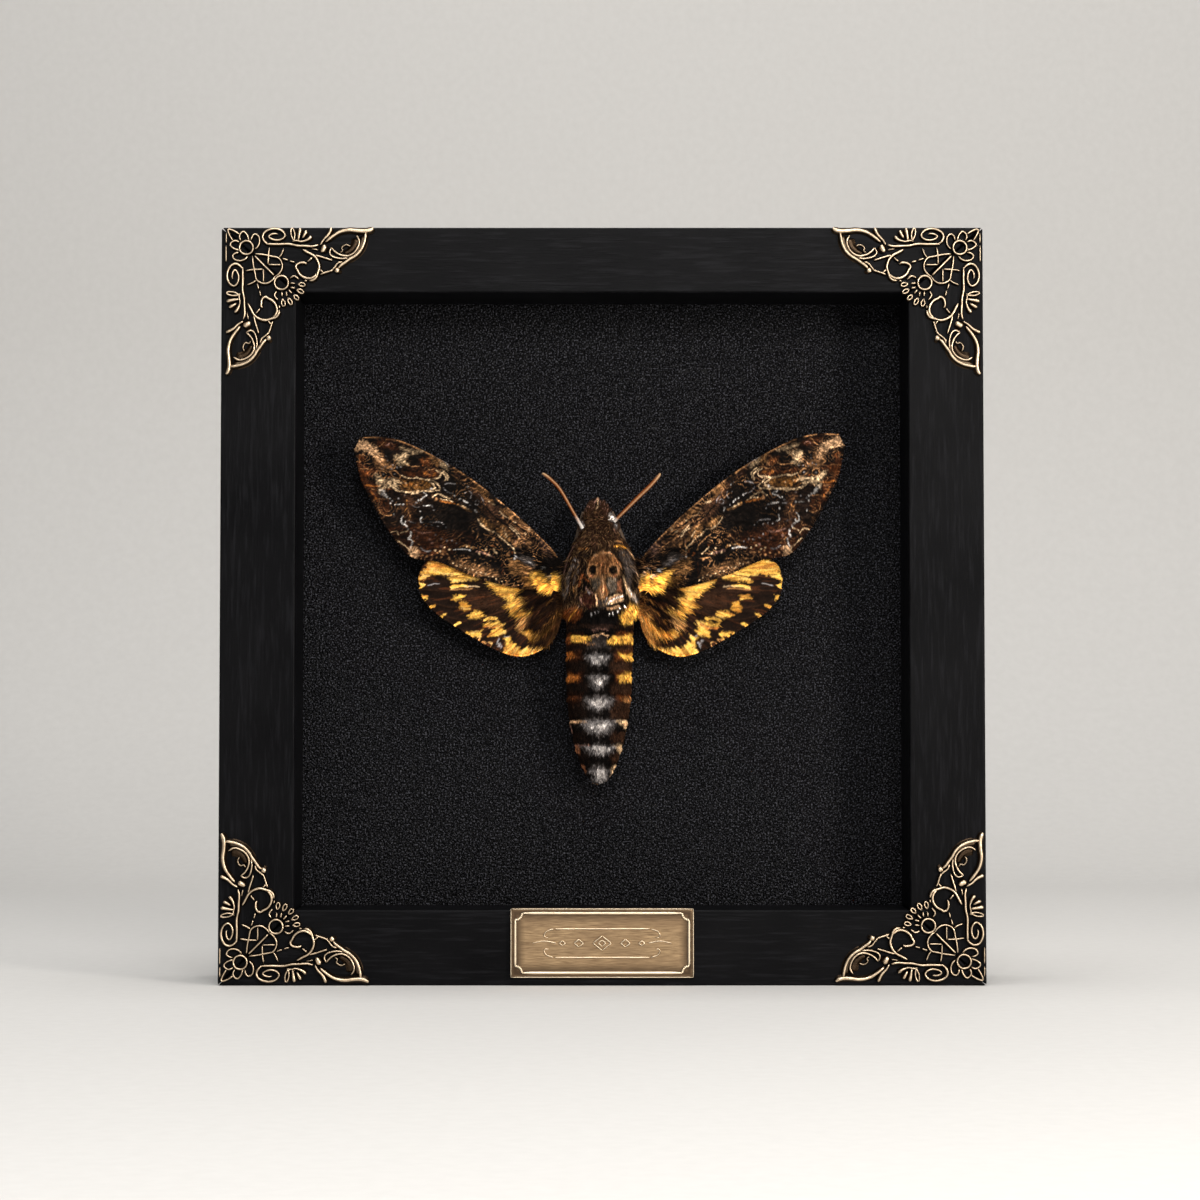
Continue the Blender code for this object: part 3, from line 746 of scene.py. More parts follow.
@dataclass(frozen=True)
class BrushedBrass:
    """Brass brushed from side to side, browned along its raised border."""

    name: str = "brushed_brass"
    pale: Colour = (0.56, 0.39, 0.22)
    dark: Colour = (0.27, 0.175, 0.098)
    brown: Colour = (0.075, 0.047, 0.03)
    bright: Colour = (0.9, 0.76, 0.56)
    middle: float = 9.9
    border: tuple[float, float] = (20.15, 6.9)
    low: float = -17.03
    high: float = -17.22

    def material(self) -> Material:
        """Returns the finish as a material."""
        nodes = Nodes(self.name)
        even = nodes.coordinates()
        streak = nodes.noise(nodes.coordinates((16, 1, 1)), 5.0, 4.0)
        cloud = nodes.noise(nodes.coordinates((3, 1, 1)), 0.2, 3.0)
        place = nodes.add("ShaderNodeSeparateXYZ", {0: even}).outputs
        across = nodes.calc("SUBTRACT", nodes.calc("ABSOLUTE", place[0]), self.border[0])
        up = nodes.calc("ABSOLUTE", nodes.calc("SUBTRACT", place[2], self.middle))
        gap = nodes.calc("MAXIMUM", across, nodes.calc("SUBTRACT", up, self.border[1]))
        gap = nodes.calc("ADD", nodes.calc("ABSOLUTE", gap), nodes.calc("MULTIPLY", cloud, 1.2))
        colour = nodes.blend(nodes.span(streak, 0.3, 0.7), self.dark, self.pale)
        colour = nodes.blend(nodes.span(cloud, 0.45, 0.7, 0.0, 0.6), colour, (0.24, 0.155, 0.09))
        colour = nodes.blend(nodes.span(gap, 0.7, 2.9, 0.93, 0.0), colour, self.brown)
        colour = nodes.blend(nodes.span(place[1], self.low, self.high), colour, self.bright)
        return nodes.finish(Base_Color=colour, Metallic=1.0, Roughness=nodes.span(streak, 0.3, 0.7, 0.34, 0.52),
                            Anisotropic=0.35, Normal=nodes.bump(streak, 0.03, 0.4))


@dataclass(frozen=True)
class ZincSteel:
    """Dull zinc plate."""

    name: str = "zinc_plate"

    def material(self) -> Material:
        """Returns the finish as a material."""
        nodes = Nodes(self.name)
        even = nodes.coordinates()
        bloom = nodes.noise(even, 0.6, 5.0)
        fine = nodes.noise(even, 5.0, 2.0)
        colour = nodes.blend(bloom, (0.42, 0.42, 0.43), (0.62, 0.61, 0.58))
        return nodes.finish(Base_Color=colour, Metallic=1.0, Roughness=nodes.span(fine, 0.3, 0.7, 0.34, 0.5),
                            Normal=nodes.bump(fine, 0.02, 0.4))


@dataclass(frozen=True)
class PressedFibre:
    """Hardboard or cork: a brown ground with paler and darker fibres or grains."""

    name: str
    ground: Colour
    fleck: Colour
    grain: float

    def material(self) -> Material:
        """Returns the finish as a material."""
        nodes = Nodes(self.name)
        even = nodes.coordinates()
        fibre = nodes.noise(even, self.grain, 6.0)
        patch = nodes.noise(even, 0.08, 3.0)
        cells = nodes.add("ShaderNodeTexVoronoi", {"Vector": even, "Scale": self.grain * 0.6}).outputs["Color"]
        shade = nodes.add("ShaderNodeRGBToBW", {0: cells}).outputs[0]
        colour = nodes.blend(nodes.span(fibre, 0.35, 0.65), self.ground, self.fleck)
        colour = nodes.blend(nodes.span(shade, 0.2, 0.9, 0.0, 0.35), colour, [c * 0.4 for c in self.ground])
        colour = nodes.blend(nodes.span(patch, 0.4, 0.7, 0.0, 0.3), colour, [c * 0.7 for c in self.ground])
        return nodes.finish(Base_Color=colour, Roughness=nodes.span(fibre, 0.3, 0.7, 0.66, 0.84),
                            Normal=nodes.bump(fibre, 0.12, 0.5))


@dataclass(frozen=True)
class Scales:
    """The moth's own marking, broken up by the sheen and shade of its scales."""

    name: str
    scale_rows: float = 5.5
    depth: float = 0.05
    shade: float = 0.45
    rough: float = 0.66
    glint: float = 1.35

    def material(self) -> Material:
        """Returns the finish as a material."""
        nodes = Nodes(self.name)
        marking = nodes.add("ShaderNodeAttribute", attribute_name=MARKING).outputs["Color"]
        even = nodes.coordinates()
        cells = nodes.add("ShaderNodeTexVoronoi", {"Vector": even, "Scale": self.scale_rows})
        tone = nodes.add("ShaderNodeRGBToBW", {0: cells.outputs["Color"]}).outputs[0]
        fine = nodes.noise(even, 2.2, 4.0)
        darker = nodes.blend(1.0, marking, (self.shade, self.shade * 0.95, self.shade * 0.9), "MULTIPLY")
        colour = nodes.blend(nodes.span(tone, 0.15, 0.85, 0.75, 0.0), marking, darker)
        lighter = nodes.blend(1.0, colour, (self.glint, self.glint - 0.05, self.glint - 0.1), "MULTIPLY")
        colour = nodes.blend(nodes.span(fine, 0.5, 0.72), colour, lighter)
        normal = nodes.bump(cells.outputs["Distance"], self.depth, 0.5)
        normal = nodes.bump(fine, self.depth, 0.5, normal)
        return nodes.finish(Base_Color=colour, Roughness=nodes.span(tone, 0.2, 0.8, self.rough, self.rough + 0.2),
                            Specular_IOR_Level=0.05, Normal=normal)


@dataclass(frozen=True)
class Hair:
    """The tufts' own marking, with a soft sheen and a little shade from tuft to tuft."""

    name: str
    rough: float = 0.6

    def material(self) -> Material:
        """Returns the finish as a material."""
        nodes = Nodes(self.name)
        marking = nodes.add("ShaderNodeAttribute", attribute_name=MARKING).outputs["Color"]
        even = nodes.coordinates()
        fine = nodes.noise(even, 3.0, 2.0)
        lighter = nodes.blend(1.0, marking, (1.4, 1.35, 1.3), "MULTIPLY")
        colour = nodes.blend(nodes.span(fine, 0.35, 0.7), marking, lighter)
        return nodes.finish(Base_Color=colour, Roughness=nodes.span(fine, 0.3, 0.7, self.rough, self.rough + 0.15),
                            Specular_IOR_Level=0.06,
                            Normal=nodes.bump(fine, 0.04, 0.3))


@dataclass(frozen=True)
class DarkEye:
    """A glossy dark eye with fine facets."""

    name: str = "dark_eye"

    def material(self) -> Material:
        """Returns the finish as a material."""
        nodes = Nodes(self.name)
        even = nodes.coordinates()
        facets = nodes.add("ShaderNodeTexVoronoi", {"Vector": even, "Scale": 9.0}).outputs["Distance"]
        cloud = nodes.noise(even, 0.8, 3.0)
        colour = nodes.blend(nodes.span(cloud, 0.3, 0.7), (0.012, 0.007, 0.005), (0.05, 0.024, 0.012))
        return nodes.finish(Base_Color=colour, Roughness=nodes.span(cloud, 0.3, 0.7, 0.3, 0.42), Coat_Weight=0.12,
                            Normal=nodes.bump(facets, 0.03, 0.3))


@dataclass(frozen=True)
class StudioPaper:
    """Plain pale paper for the floor and the wall behind."""

    name: str = "studio_paper"

    def material(self) -> Material:
        """Returns the finish as a material."""
        nodes = Nodes(self.name)
        fine = nodes.noise(nodes.coordinates(), 0.3, 3.0)
        return nodes.finish(Base_Color=nodes.blend(fine, (0.60, 0.59, 0.57), (0.66, 0.65, 0.63)), Roughness=0.85)


@dataclass
class Studio:
    """The camera, the lamps and the pale paper that the case stands on."""

    case_front: float = -16.0
    camera_reach: float = 700.0
    camera_across: float = -0.5
    camera_height: float = 59.6
    camera_tilt: float = 2.45
    lens: float = 90.1
    paper: float = 1600.0
    paper_back: float = 420.0
    paper_turn: float = 260.0

    def camera(self) -> None:
        """Sets up the camera before the case."""
        data = bpy.data.cameras.new("camera")
        data.lens = self.lens
        data.sensor_width = 36.0
        data.clip_start = 0.01
        made = bpy.data.objects.new("camera", data)
        made.location = [v * MM for v in (self.camera_across, self.case_front - self.camera_reach,
                                          self.camera_height)]
        made.rotation_euler = (math.radians(90 + self.camera_tilt), 0, 0)
        bpy.context.scene.collection.objects.link(made)
        bpy.context.scene.camera = made

    def lamp(self, name: str, place: Sequence[float], size: tuple[float, float], watts: float,
             colour: Sequence[float]) -> None:
        """Hangs one soft lamp that faces the moth.

        Args:
            name: The lamp's name.
            place: Where it hangs, in millimetres.
            size: Its width and height in millimetres.
            watts: Its power.
            colour: The colour of its light.
        """
        data = bpy.data.lights.new(name, "AREA")
        data.shape = "RECTANGLE"
        data.size, data.size_y = size[0] * MM, size[1] * MM
        data.energy = watts
        data.color = colour
        made = bpy.data.objects.new(name, data)
        made.location = [v * MM for v in place]
        aim = np.array([0.0, 0.0, 90.0]) - np.array(place)
        flat = math.hypot(aim[0], aim[1])
        made.rotation_euler = (math.pi / 2 + math.atan2(aim[2], flat), 0, math.atan2(-aim[0], aim[1]))
        bpy.context.scene.collection.objects.link(made)

    def lamps(self) -> None:
        """Hangs the lamps and sets the room's own light."""
        self.lamp("top_lamp", (60, -760, 430), (320, 200), 3.4, (1.0, 0.98, 0.96))
        self.lamp("key_lamp", (560, -640, 200), (150, 200), 4.4, (1.0, 0.93, 0.85))
        self.lamp("floor_lamp", (0, -120, 1100), (700, 700), 9.0, (1.0, 0.99, 0.98))
        self.lamp("back_lamp", (300, 800, 520), (500, 400), 5.0, (1.0, 0.98, 0.96))
        world = bpy.data.worlds.new("room")
        world.use_nodes = True
        world.node_tree.nodes["Background"].inputs[0].default_value = (0.95, 0.97, 1.0, 1.0)
        world.node_tree.nodes["Background"].inputs[1].default_value = 0.14
        bpy.context.scene.view_settings.view_transform = "Standard"
        bpy.context.scene.world = world

    def backdrop(self) -> None:
        """Lays the paper, which turns up behind the case."""
        turn = [(self.paper_back + self.paper_turn * math.sin(a), self.paper_turn * (1 - math.cos(a)))
                for a in np.linspace(0, math.pi / 2, 24)]
        line_up = [(-self.paper, 0.0), *turn, (turn[-1][0], self.paper)]
        soup = Soup()
        places = [(x, y, z) for x in (-self.paper, self.paper) for y, z in line_up]
        soup.add(np.array(places), grid_faces(2, len(line_up), flip=True))
        mesh = soup.mesh("paper_sweep")
        mesh.materials.append(StudioPaper().material())
        mesh.polygons.foreach_set("use_smooth", np.ones(len(mesh.polygons), bool))
        made = bpy.data.objects.new("paper_sweep", mesh)
        bpy.context.scene.collection.objects.link(made)


@dataclass
class Case:
    """The shadow box: its rails, covered board, back and fastenings."""

    rail_rounding: float = 0.45
    metal_rounding: float = 0.15

    def build(self) -> None:
        """Dresses the case."""
        flat, upright = BlackPaint("black_paint_across", 0).material(), BlackPaint("black_paint_up", 2).material()
        for node, finish in (("rail_bottom", flat), ("rail_top", flat), ("rail_left", upright),
                             ("rail_right", upright)):
            softened(node, "painted_" + node, finish, self.rail_rounding)
        dress(("mount_board",), Leatherette().material())
        for node, board in (("back_panel", PressedFibre("hardboard", (0.17, 0.095, 0.045), (0.26, 0.16, 0.08), 1.2)),
                            ("mount_pad", PressedFibre("cork", (0.36, 0.21, 0.11), (0.5, 0.32, 0.18), 1.6))):
            dress((node,), board.material())
        zinc = ZincSteel().material()
        for number in range(1, 5):
            softened(f"turn_button_{number}", f"plated_button_{number}", zinc, self.metal_rounding)
        softened("sawtooth_hanger", "plated_hanger", zinc, self.metal_rounding)
        dress([f"turn_screw_{number}" for number in range(1, 5)], zinc)


PETAL_HALF_WIDTH = 0.42


def wire_section(width: float, height: float) -> Array:
    """Returns a bright ridge on a low wider foot, as rows of across and up."""
    half = [(0.9, 0.0), (0.86, 0.22), (0.5, 0.34), (0.42, 0.8), (0.22, 0.97)]
    return np.array([(a * width, b * height) for a, b in half] + [(-a * width, b * height) for a, b in half[::-1]])


@dataclass(frozen=True)
class Scroll:
    """One wire of a brass corner, with places from the corner along both edges."""

    width: float
    points: Places
    taper: float = 0.0
    paired: bool = True
    closed: bool = False
    rise: float = 1.0


def petal_points(start: Sequence[float], tip: Sequence[float]) -> Places:
    """Returns a closed petal outline from its root to its tip."""
    root, end = np.array(start), np.array(tip)
    along = end - root
    side = np.array([-along[1], along[0]]) / np.linalg.norm(along) * PETAL_HALF_WIDTH
    return tuple(map(tuple, [root, root + along * 0.45 + side, root + along * 0.85 + side * 0.75, end,
                             root + along * 0.85 - side * 0.75, root + along * 0.45 - side]))


def scrolls(table: str) -> tuple[Scroll, ...]:
    """Reads a table with one wire to a row.

    Args:
        table: Rows of a shape, whether one or two of it stand on a corner, its width, the share that it tapers
            by, the share of the full height that it rises to, and places. A ring has its middle and its radius,
            and a petal its root and its tip.

    Returns:
        The wires, in their order.
    """
    made = []
    for (shape, number, width, taper, rise), points in rows_of(table, 5):
        if shape == "ring":
            points = ring_points(*points[0], *points[1])
        elif shape == "petal":
            points = petal_points(*points)
        made.append(Scroll(float(width), points, float(taper), number == "two", shape != "wire", float(rise)))
    return tuple(made)


SCROLLS = scrolls("""
ring one .5 0 1 5.15,5.15 1.6
wire two .42 0 1 6.3,3.4 6.45,2.6 7.1,1.95 8,2.5 8.25,3.7 7.9,4.8 7.2,5.5
wire two .42 0 1 5.75,3.5 5.5,2.5 5.1,1.85 4.5,1.35 3.85,1.75 3.5,2.6 3.85,3.45
wire one .42 0 1 3.5,2 2.2,1.2 1.05,.8 .8,1.05 1.2,2.2 2,3.5
wire one .3 0 .8 .45,1.7 .4,2.9 .45,4
wire one .3 0 .8 .4,4.7 .4,6.6 .4,8.4
wire two .6 .3 1 10.2,4.3 9.5,3.8 8.95,2.7 9.3,1.65 10.4,.95 11.9,.7 13.4,1.15 14.2,2.2 13.6,3.05 12.4,3.4
 11.2,3.2 10.4,2.65 10.8,2.1 11.9,1.85 12.5,2
wire two .55 0 1 9.8,4.3 12.6,4.35 15.1,4.3 17.1,4.7 18.6,4.75 20.6,4.85 22,4.55
wire two .4 0 1 15.9,3.7 16.8,3.5 18,3.75 19.1,3.4
petal two .4 0 1 16.3,3.6 15.8,.55
wire two 1 .55 1 17.75,.6 17.5,2 17.3,3.5
wire two .95 .5 1 19.2,1.15 18.8,2 18.3,2.9
wire two .9 .5 1 20.4,2.5 19.6,3.2 18.4,3.7
wire two .85 .5 1 25.1,.5 24.3,2.1 23.2,3.3 22.5,4.5
wire two 1.4 0 .45 32.6,2.4 32.2,4.3 31.3,5.9 30,7 28.6,7.8
wire two 1.5 .5 .3 31,3 30.4,4.7 29.2,5.9 28,6.4
wire two .4 0 .6 29.5,4.8 28.6,4.4 27.8,4.7 27.4,5.2 27.7,5.8 27,6.3
wire two 1.05 .35 1 34.9,.55 34.3,.95 33.1,1.25 31.3,1.2 29.6,1 28.1,1.15 26.6,1.65 25.1,2.65 23.7,3.8
wire two .75 0 1 33.1,1.5 33,2.6 32.6,4.3 31.8,5.9 30.6,7.1 29.4,7.8 28.3,8.6 27.3,9.3 26.7,10
wire two .5 0 1 30.9,2.3 31.55,3.4 31.4,4.7 30.6,6.1 29.4,6.95 28.2,7.1 26.8,6.7 25.8,6 25.1,5.15
wire two .42 0 1 25.1,5.2 24.65,6.2 25,7 26,7.5 27.5,7.75 28.9,7.6
wire two 1.4 .2 1.1 23.6,4.6 23.3,5.3 22.8,6.2
wire two .45 0 .8 25.3,8.1 23.8,7.65 22.4,7.2 21.1,6.9
wire two .6 0 1 18.3,5.6 19.6,6.3 20.9,7 21.8,8.1 22.25,9.6 21.9,11 21.5,12.2 20.7,12.8 19.9,12.9
wire two .65 .15 1 21.7,11.4 20.8,12.15 19.7,12.4 18.5,12.05 17.6,11.3 17.1,10.3 16.75,9.9 16.9,9.2 17.7,8.75
 18.8,8.7 19.3,9
wire two .4 0 1 19.4,12.9 19.1,13 18.8,12.9
wire two .45 0 1 25.5,10.4 24.4,10.8 23.1,11.2 22.5,11.5
wire two .4 0 1 23.2,11 22.8,10.7 22.4,10.3
wire two 1.25 0 1 26.6,10 26.4,10.5 26.2,11
wire two .45 0 1 27.6,8.5 26.6,8.8 25.8,9.8 25.1,10.6
wire two .4 0 1 20.6,7.5 19.9,8.1 19.5,8.4
wire two .32 0 .7 22,5.7 21.2,5.5 20.4,5.4
wire two .42 0 1 7.2,6.6 9.1,6.8 11.1,7.2 12.7,7.6 13.5,8.8 13.5,10.2 12.7,11.4 11.9,11.9
wire one .48 0 1 7.1,7.1 9.3,9.3 11.6,11.6
wire two .38 0 1 10.6,5.1 10.35,6.7 10.25,9
wire two .36 0 1 10.25,9.15 11.7,9.2 13.2,9.2
wire two .38 0 1 13.9,5.4 13.4,6.7 12.8,7.5
wire two .38 0 1 14.9,8.1 14.2,7.9 13.6,7.7
wire two .38 0 1 16.5,8.6 15.9,8.45 15.3,8.3
ring one .5 0 1 13.4,13.4 1.62
wire two .42 0 1 15.4,12.3 16.4,11.8 17.5,12.6
wire two .42 0 1 15.5,13.5 16,13.55 16.6,13.6
wire two .42 0 1 15.5,14.5 16,14.6 16.6,14.7
wire one .45 0 1 15.1,15.1 15.5,15.5 15.9,15.9
petal two .38 0 1 17.3,13.7 19,14
petal two .38 0 1 17,15 18.6,15.8
petal one .38 0 1 16.3,16.3 17.4,17.4
""")


@dataclass
class BrassTrim:
    """The openwork corners and the plate, which stand on the rails' front."""

    face: float = -16.0
    height: float = 1.35
    half_width: float = 89.25
    case_height: float = 177.0
    plate_middle: float = 9.9
    plate_size: tuple[float, float] = (42.6, 16.1)
    plate_thickness: float = 1.0
    border_inset: float = 1.15
    border_notch: float = 1.6
    ring_spacing: float = 0.32
    fewest_rings: int = 6
    foot: float = 0.05
    plate_radius: float = 0.9
    rim_gap: float = 0.98
    rule_height: float = 3.3

    def wire(self, soup: Soup, scroll: Scroll, turn: Callable[[Array], Array], base: float,
             height: float) -> None:
        """Adds one wire.

        Args:
            soup: What the wire is added to.
            scroll: The wire.
            turn: Moves its flat places to the case's front.
            base: The depth that its foot stands at.
            height: How far it stands forward.
        """
        points = scroll.points
        if scroll.closed:
            points = points + points[:1]
        length = np.linalg.norm(np.diff(np.array(points), axis=0), axis=1).sum()
        count = max(self.fewest_rings, int(length / self.ring_spacing))
        flat = turn(smooth_curve(points, count))
        route = np.stack([flat[:, 0], np.full(len(flat), base), flat[:, 1]], axis=1)

        def section(share: float) -> Array:
            """Returns the wire's section at a share of its length."""
            end = 1.0 if scroll.closed else min(1.0, 0.6 + 6 * min(share, 1 - share))
            size = scroll.width * (1 - scroll.taper * share) * end
            return wire_section(size, height * scroll.rise * (0.75 + 0.25 * end))

        soup.sweep(route, section)

    def corner(self, name: str, side: Side, top: bool, shift: tuple[float, float], brass: Material) -> None:
        """Builds one corner.

        Args:
            name: The corner node's name.
            side: The side that it stands on.
            top: True on the top rail.
            shift: How far in and how far down or up from the case's corner it was nailed on.
            brass: Its finish.
        """
        soup = Soup()
        for scroll in SCROLLS:
            for swap in (False, True) if scroll.paired else (False,):
                def turn(flat: Array, swapped: bool = swap) -> Array:
                    """Moves a wire's places from the corner to the case's front."""
                    across, down = (flat[:, 1], flat[:, 0]) if swapped else (flat[:, 0], flat[:, 1])
                    across, down = across + shift[0], down + shift[1]
                    z = self.case_height - down if top else down
                    return np.stack([side.value * (self.half_width - across), z], axis=1)

                self.wire(soup, scroll, turn, self.face + self.foot, self.height)
        piece(soup.mesh("openwork_" + name), brass, (name,))

    def plate(self) -> None:
        """Builds the plate with its raised border and a plain ornament."""
        soup = Soup()
        wide, high = self.plate_size[0] / 2, self.plate_size[1] / 2
        radius = self.plate_radius
        outline = [(sx * (wide - radius) + radius * math.cos(t), sz * (high - radius) + radius * math.sin(t))
                   for sx, sz, t0 in ((1, 1, 0), (-1, 1, 90), (-1, -1, 180), (1, -1, 270))
                   for t in np.radians(np.linspace(t0, t0 + 90, 7))]
        rows = []
        for inset, depth in ((0.0, 0.05), (0.0, 0.7), (0.08, 0.88), (0.25, 1.0), (0.5, 1.0)):
            scale = np.array([(wide - inset) / wide, (high - inset) / high])
            flat = np.array(outline) * scale
            rows.append(np.column_stack([flat[:, 0], np.full(len(flat), self.face - depth * self.plate_thickness),
                                         flat[:, 1] + self.plate_middle]))
        back = np.arange(len(outline))[None]
        front = back + len(outline) * (len(rows) - 1)
        soup.add(np.vstack(rows), grid_faces(len(rows), len(outline), closed=True, flip=True), back, front[:, ::-1])
        self.ornament(soup, wide - self.border_inset, high - self.border_inset)
        piece(soup.mesh("bordered_plate"), BrushedBrass().material(), ("name_plate",))

    def ornament(self, soup: Soup, wide: float, high: float) -> None:
        """Adds the plate's rim, its notched border, and rules, lozenges and sprays inside it.

        Args:
            soup: What they are added to.
            wide: Half the border's width.
            high: Half the border's height.
        """
        front = self.face - self.plate_thickness + self.foot
        reach, tall = wide + self.rim_gap, high + self.rim_gap
        rim = ((-reach, -tall), (reach, -tall), (reach, tall), (-reach, tall))
        border = self.notched(wide, high, self.border_notch)
        for start, end in zip(rim, rim[1:] + rim[:1]):
            self.wire(soup, Scroll(0.2, (start, end)), self.on_plate, front, 0.27)
        for start, end in zip(border, border[1:] + border[:1]):
            self.wire(soup, Scroll(0.5, (start, end)), self.on_plate, front, 0.42)
        for centre, size in ((0.0, 2.1), (-5.4, 1.1), (5.4, 1.1), (-9.2, 0.7), (9.2, 0.7), (0.0, 0.9)):
            lozenge = ((centre + size, 0.0), (centre, size * 0.8), (centre - size, 0.0), (centre, -size * 0.8))
            for start, end in zip(lozenge, lozenge[1:] + lozenge[:1]):
                self.wire(soup, Scroll(0.26, (start, end)), self.on_plate, front, 0.42)
        for z in (-self.rule_height, self.rule_height):
            self.wire(soup, Scroll(0.26, ((-11.0, z), (11.0, z))), self.on_plate, front, 0.42)
        for side in (-1, 1):
            for z in (-self.rule_height, self.rule_height):
                spray = ((side * 11.3, z), (side * 13.0, z * 0.8), (side * 13.4, z * 0.45), (side * 12.4, z * 0.4))
                self.wire(soup, Scroll(0.24, spray, 0.3), self.on_plate, front, 0.4)
            leaf = ((side * 10.6, 0.0), (side * 13.4, 0.5), (side * 16.2, 0.0))
            self.wire(soup, Scroll(0.26, leaf, 0.4), self.on_plate, front, 0.4)

    def on_plate(self, flat: Array) -> Array:
        """Moves places from the plate's middle to the case's front."""
        return flat + np.array([0.0, self.plate_middle])

    @staticmethod
    def notched(wide: float, high: float, notch: float) -> list[tuple[float, float]]:
        """Returns a rectangle's outline with a hollow round cut from each corner."""
        made = []
        for sx, sz, first in ((1, 1, 270), (-1, 1, 0), (-1, -1, 90), (1, -1, 180)):
            for t in np.radians(np.linspace(first, first - 90, 7)):
                made.append((sx * wide + notch * math.cos(t), sz * high + notch * math.sin(t)))
        return made

    def build(self) -> None:
        """Builds the corners and the plate."""
        brass = AgedBrass().material()
        for name, side, top, shift in (("corner_top_left", Side.LEFT, True, (0.8, -0.25)),
                                       ("corner_top_right", Side.RIGHT, True, (0.35, -0.25)),
                                       ("corner_bottom_left", Side.LEFT, False, (0.2, 0.3)),
                                       ("corner_bottom_right", Side.RIGHT, False, (0.2, 0.5))):
            self.corner(name, side, top, shift, brass)
        self.plate()


BODY_DEPTH = -4.2
BODY_STATIONS = (
    (46.4, 0.8, 0.7, 0.7), (47.6, 2.4, 1.6, 1.6), (50.0, 4.1, 2.7, 2.7), (55.4, 6.0, 4.1, 4.3),
    (61.8, 7.3, 4.9, 5.1), (66.8, 7.9, 5.4, 5.6), (76.0, 8.2, 5.9, 5.9), (87.2, 8.3, 5.9, 5.9),
    (92.0, 8.9, 6.1, 5.8), (95.7, 9.1, 6.3, 5.8), (99.9, 8.4, 6.0, 5.6), (103.5, 6.7, 4.9, 4.7),
    (105.2, 5.5, 4.1, 4.0), (107.0, 4.8, 3.7, 3.4), (109.4, 4.4, 3.1, 2.9), (111.5, 3.2, 2.2, 2.1),
    (113.2, 1.7, 1.2, 1.2), (114.2, 0.6, 0.5, 0.5),
)
AXIS_STATIONS = ((46.4, -0.8), (60.0, -0.8), (80.0, -0.6), (95.0, -0.4), (104.0, -0.5), (114.2, -1.3))
RING_EDGES = (50.1, 55.6, 61.9, 67.6, 72.4, 77.0, 81.7)
COAT_STATIONS = ((46.4, 0.3), (50.0, 0.45), (84.0, 0.5), (88.0, 0.9), (100.0, 1.0), (105.0, 0.9), (110.0, 0.8),
                 (114.2, 0.3))


@dataclass(frozen=True)
class Trunk:
    """The moth's body under its coat, by height and by the angle from its front."""

    groove: float = 0.22
    groove_width: float = 0.45
    thinnest: float = 0.15
    reach_up: float = 0.25
    reach_about: float = 0.02

    def surface(self, height: Array, angle: Array) -> Array:
        """Returns places on the body, inside the outline by the coat's depth.

        Args:
            height: Heights in millimetres.
            angle: Angles about the body, 0 at its front and rising to the right.

        Returns:
            One row of three coordinates for each place.
        """
        inset = profile(COAT_STATIONS, 1, height)
        for edge in RING_EDGES:
            inset = inset + self.groove * np.exp(-(((height - edge) / self.groove_width) ** 2))
        wide, fore, rear = (np.maximum(profile(BODY_STATIONS, k, height) - inset, self.thinnest) for k in (1, 2, 3))
        deep = np.where(np.cos(angle) > 0, fore, rear)
        x = profile(AXIS_STATIONS, 1, height) + wide * np.sin(angle)
        return np.stack([x, BODY_DEPTH - deep * np.cos(angle), height], axis=1)

    def normal(self, height: Array, angle: Array) -> Array:
        """Returns the direction that the body faces in at each place."""
        up = self.surface(height + self.reach_up, angle) - self.surface(height - self.reach_up, angle)
        about = self.surface(height, angle + self.reach_about) - self.surface(height, angle - self.reach_about)
        return unit(np.cross(about, up))
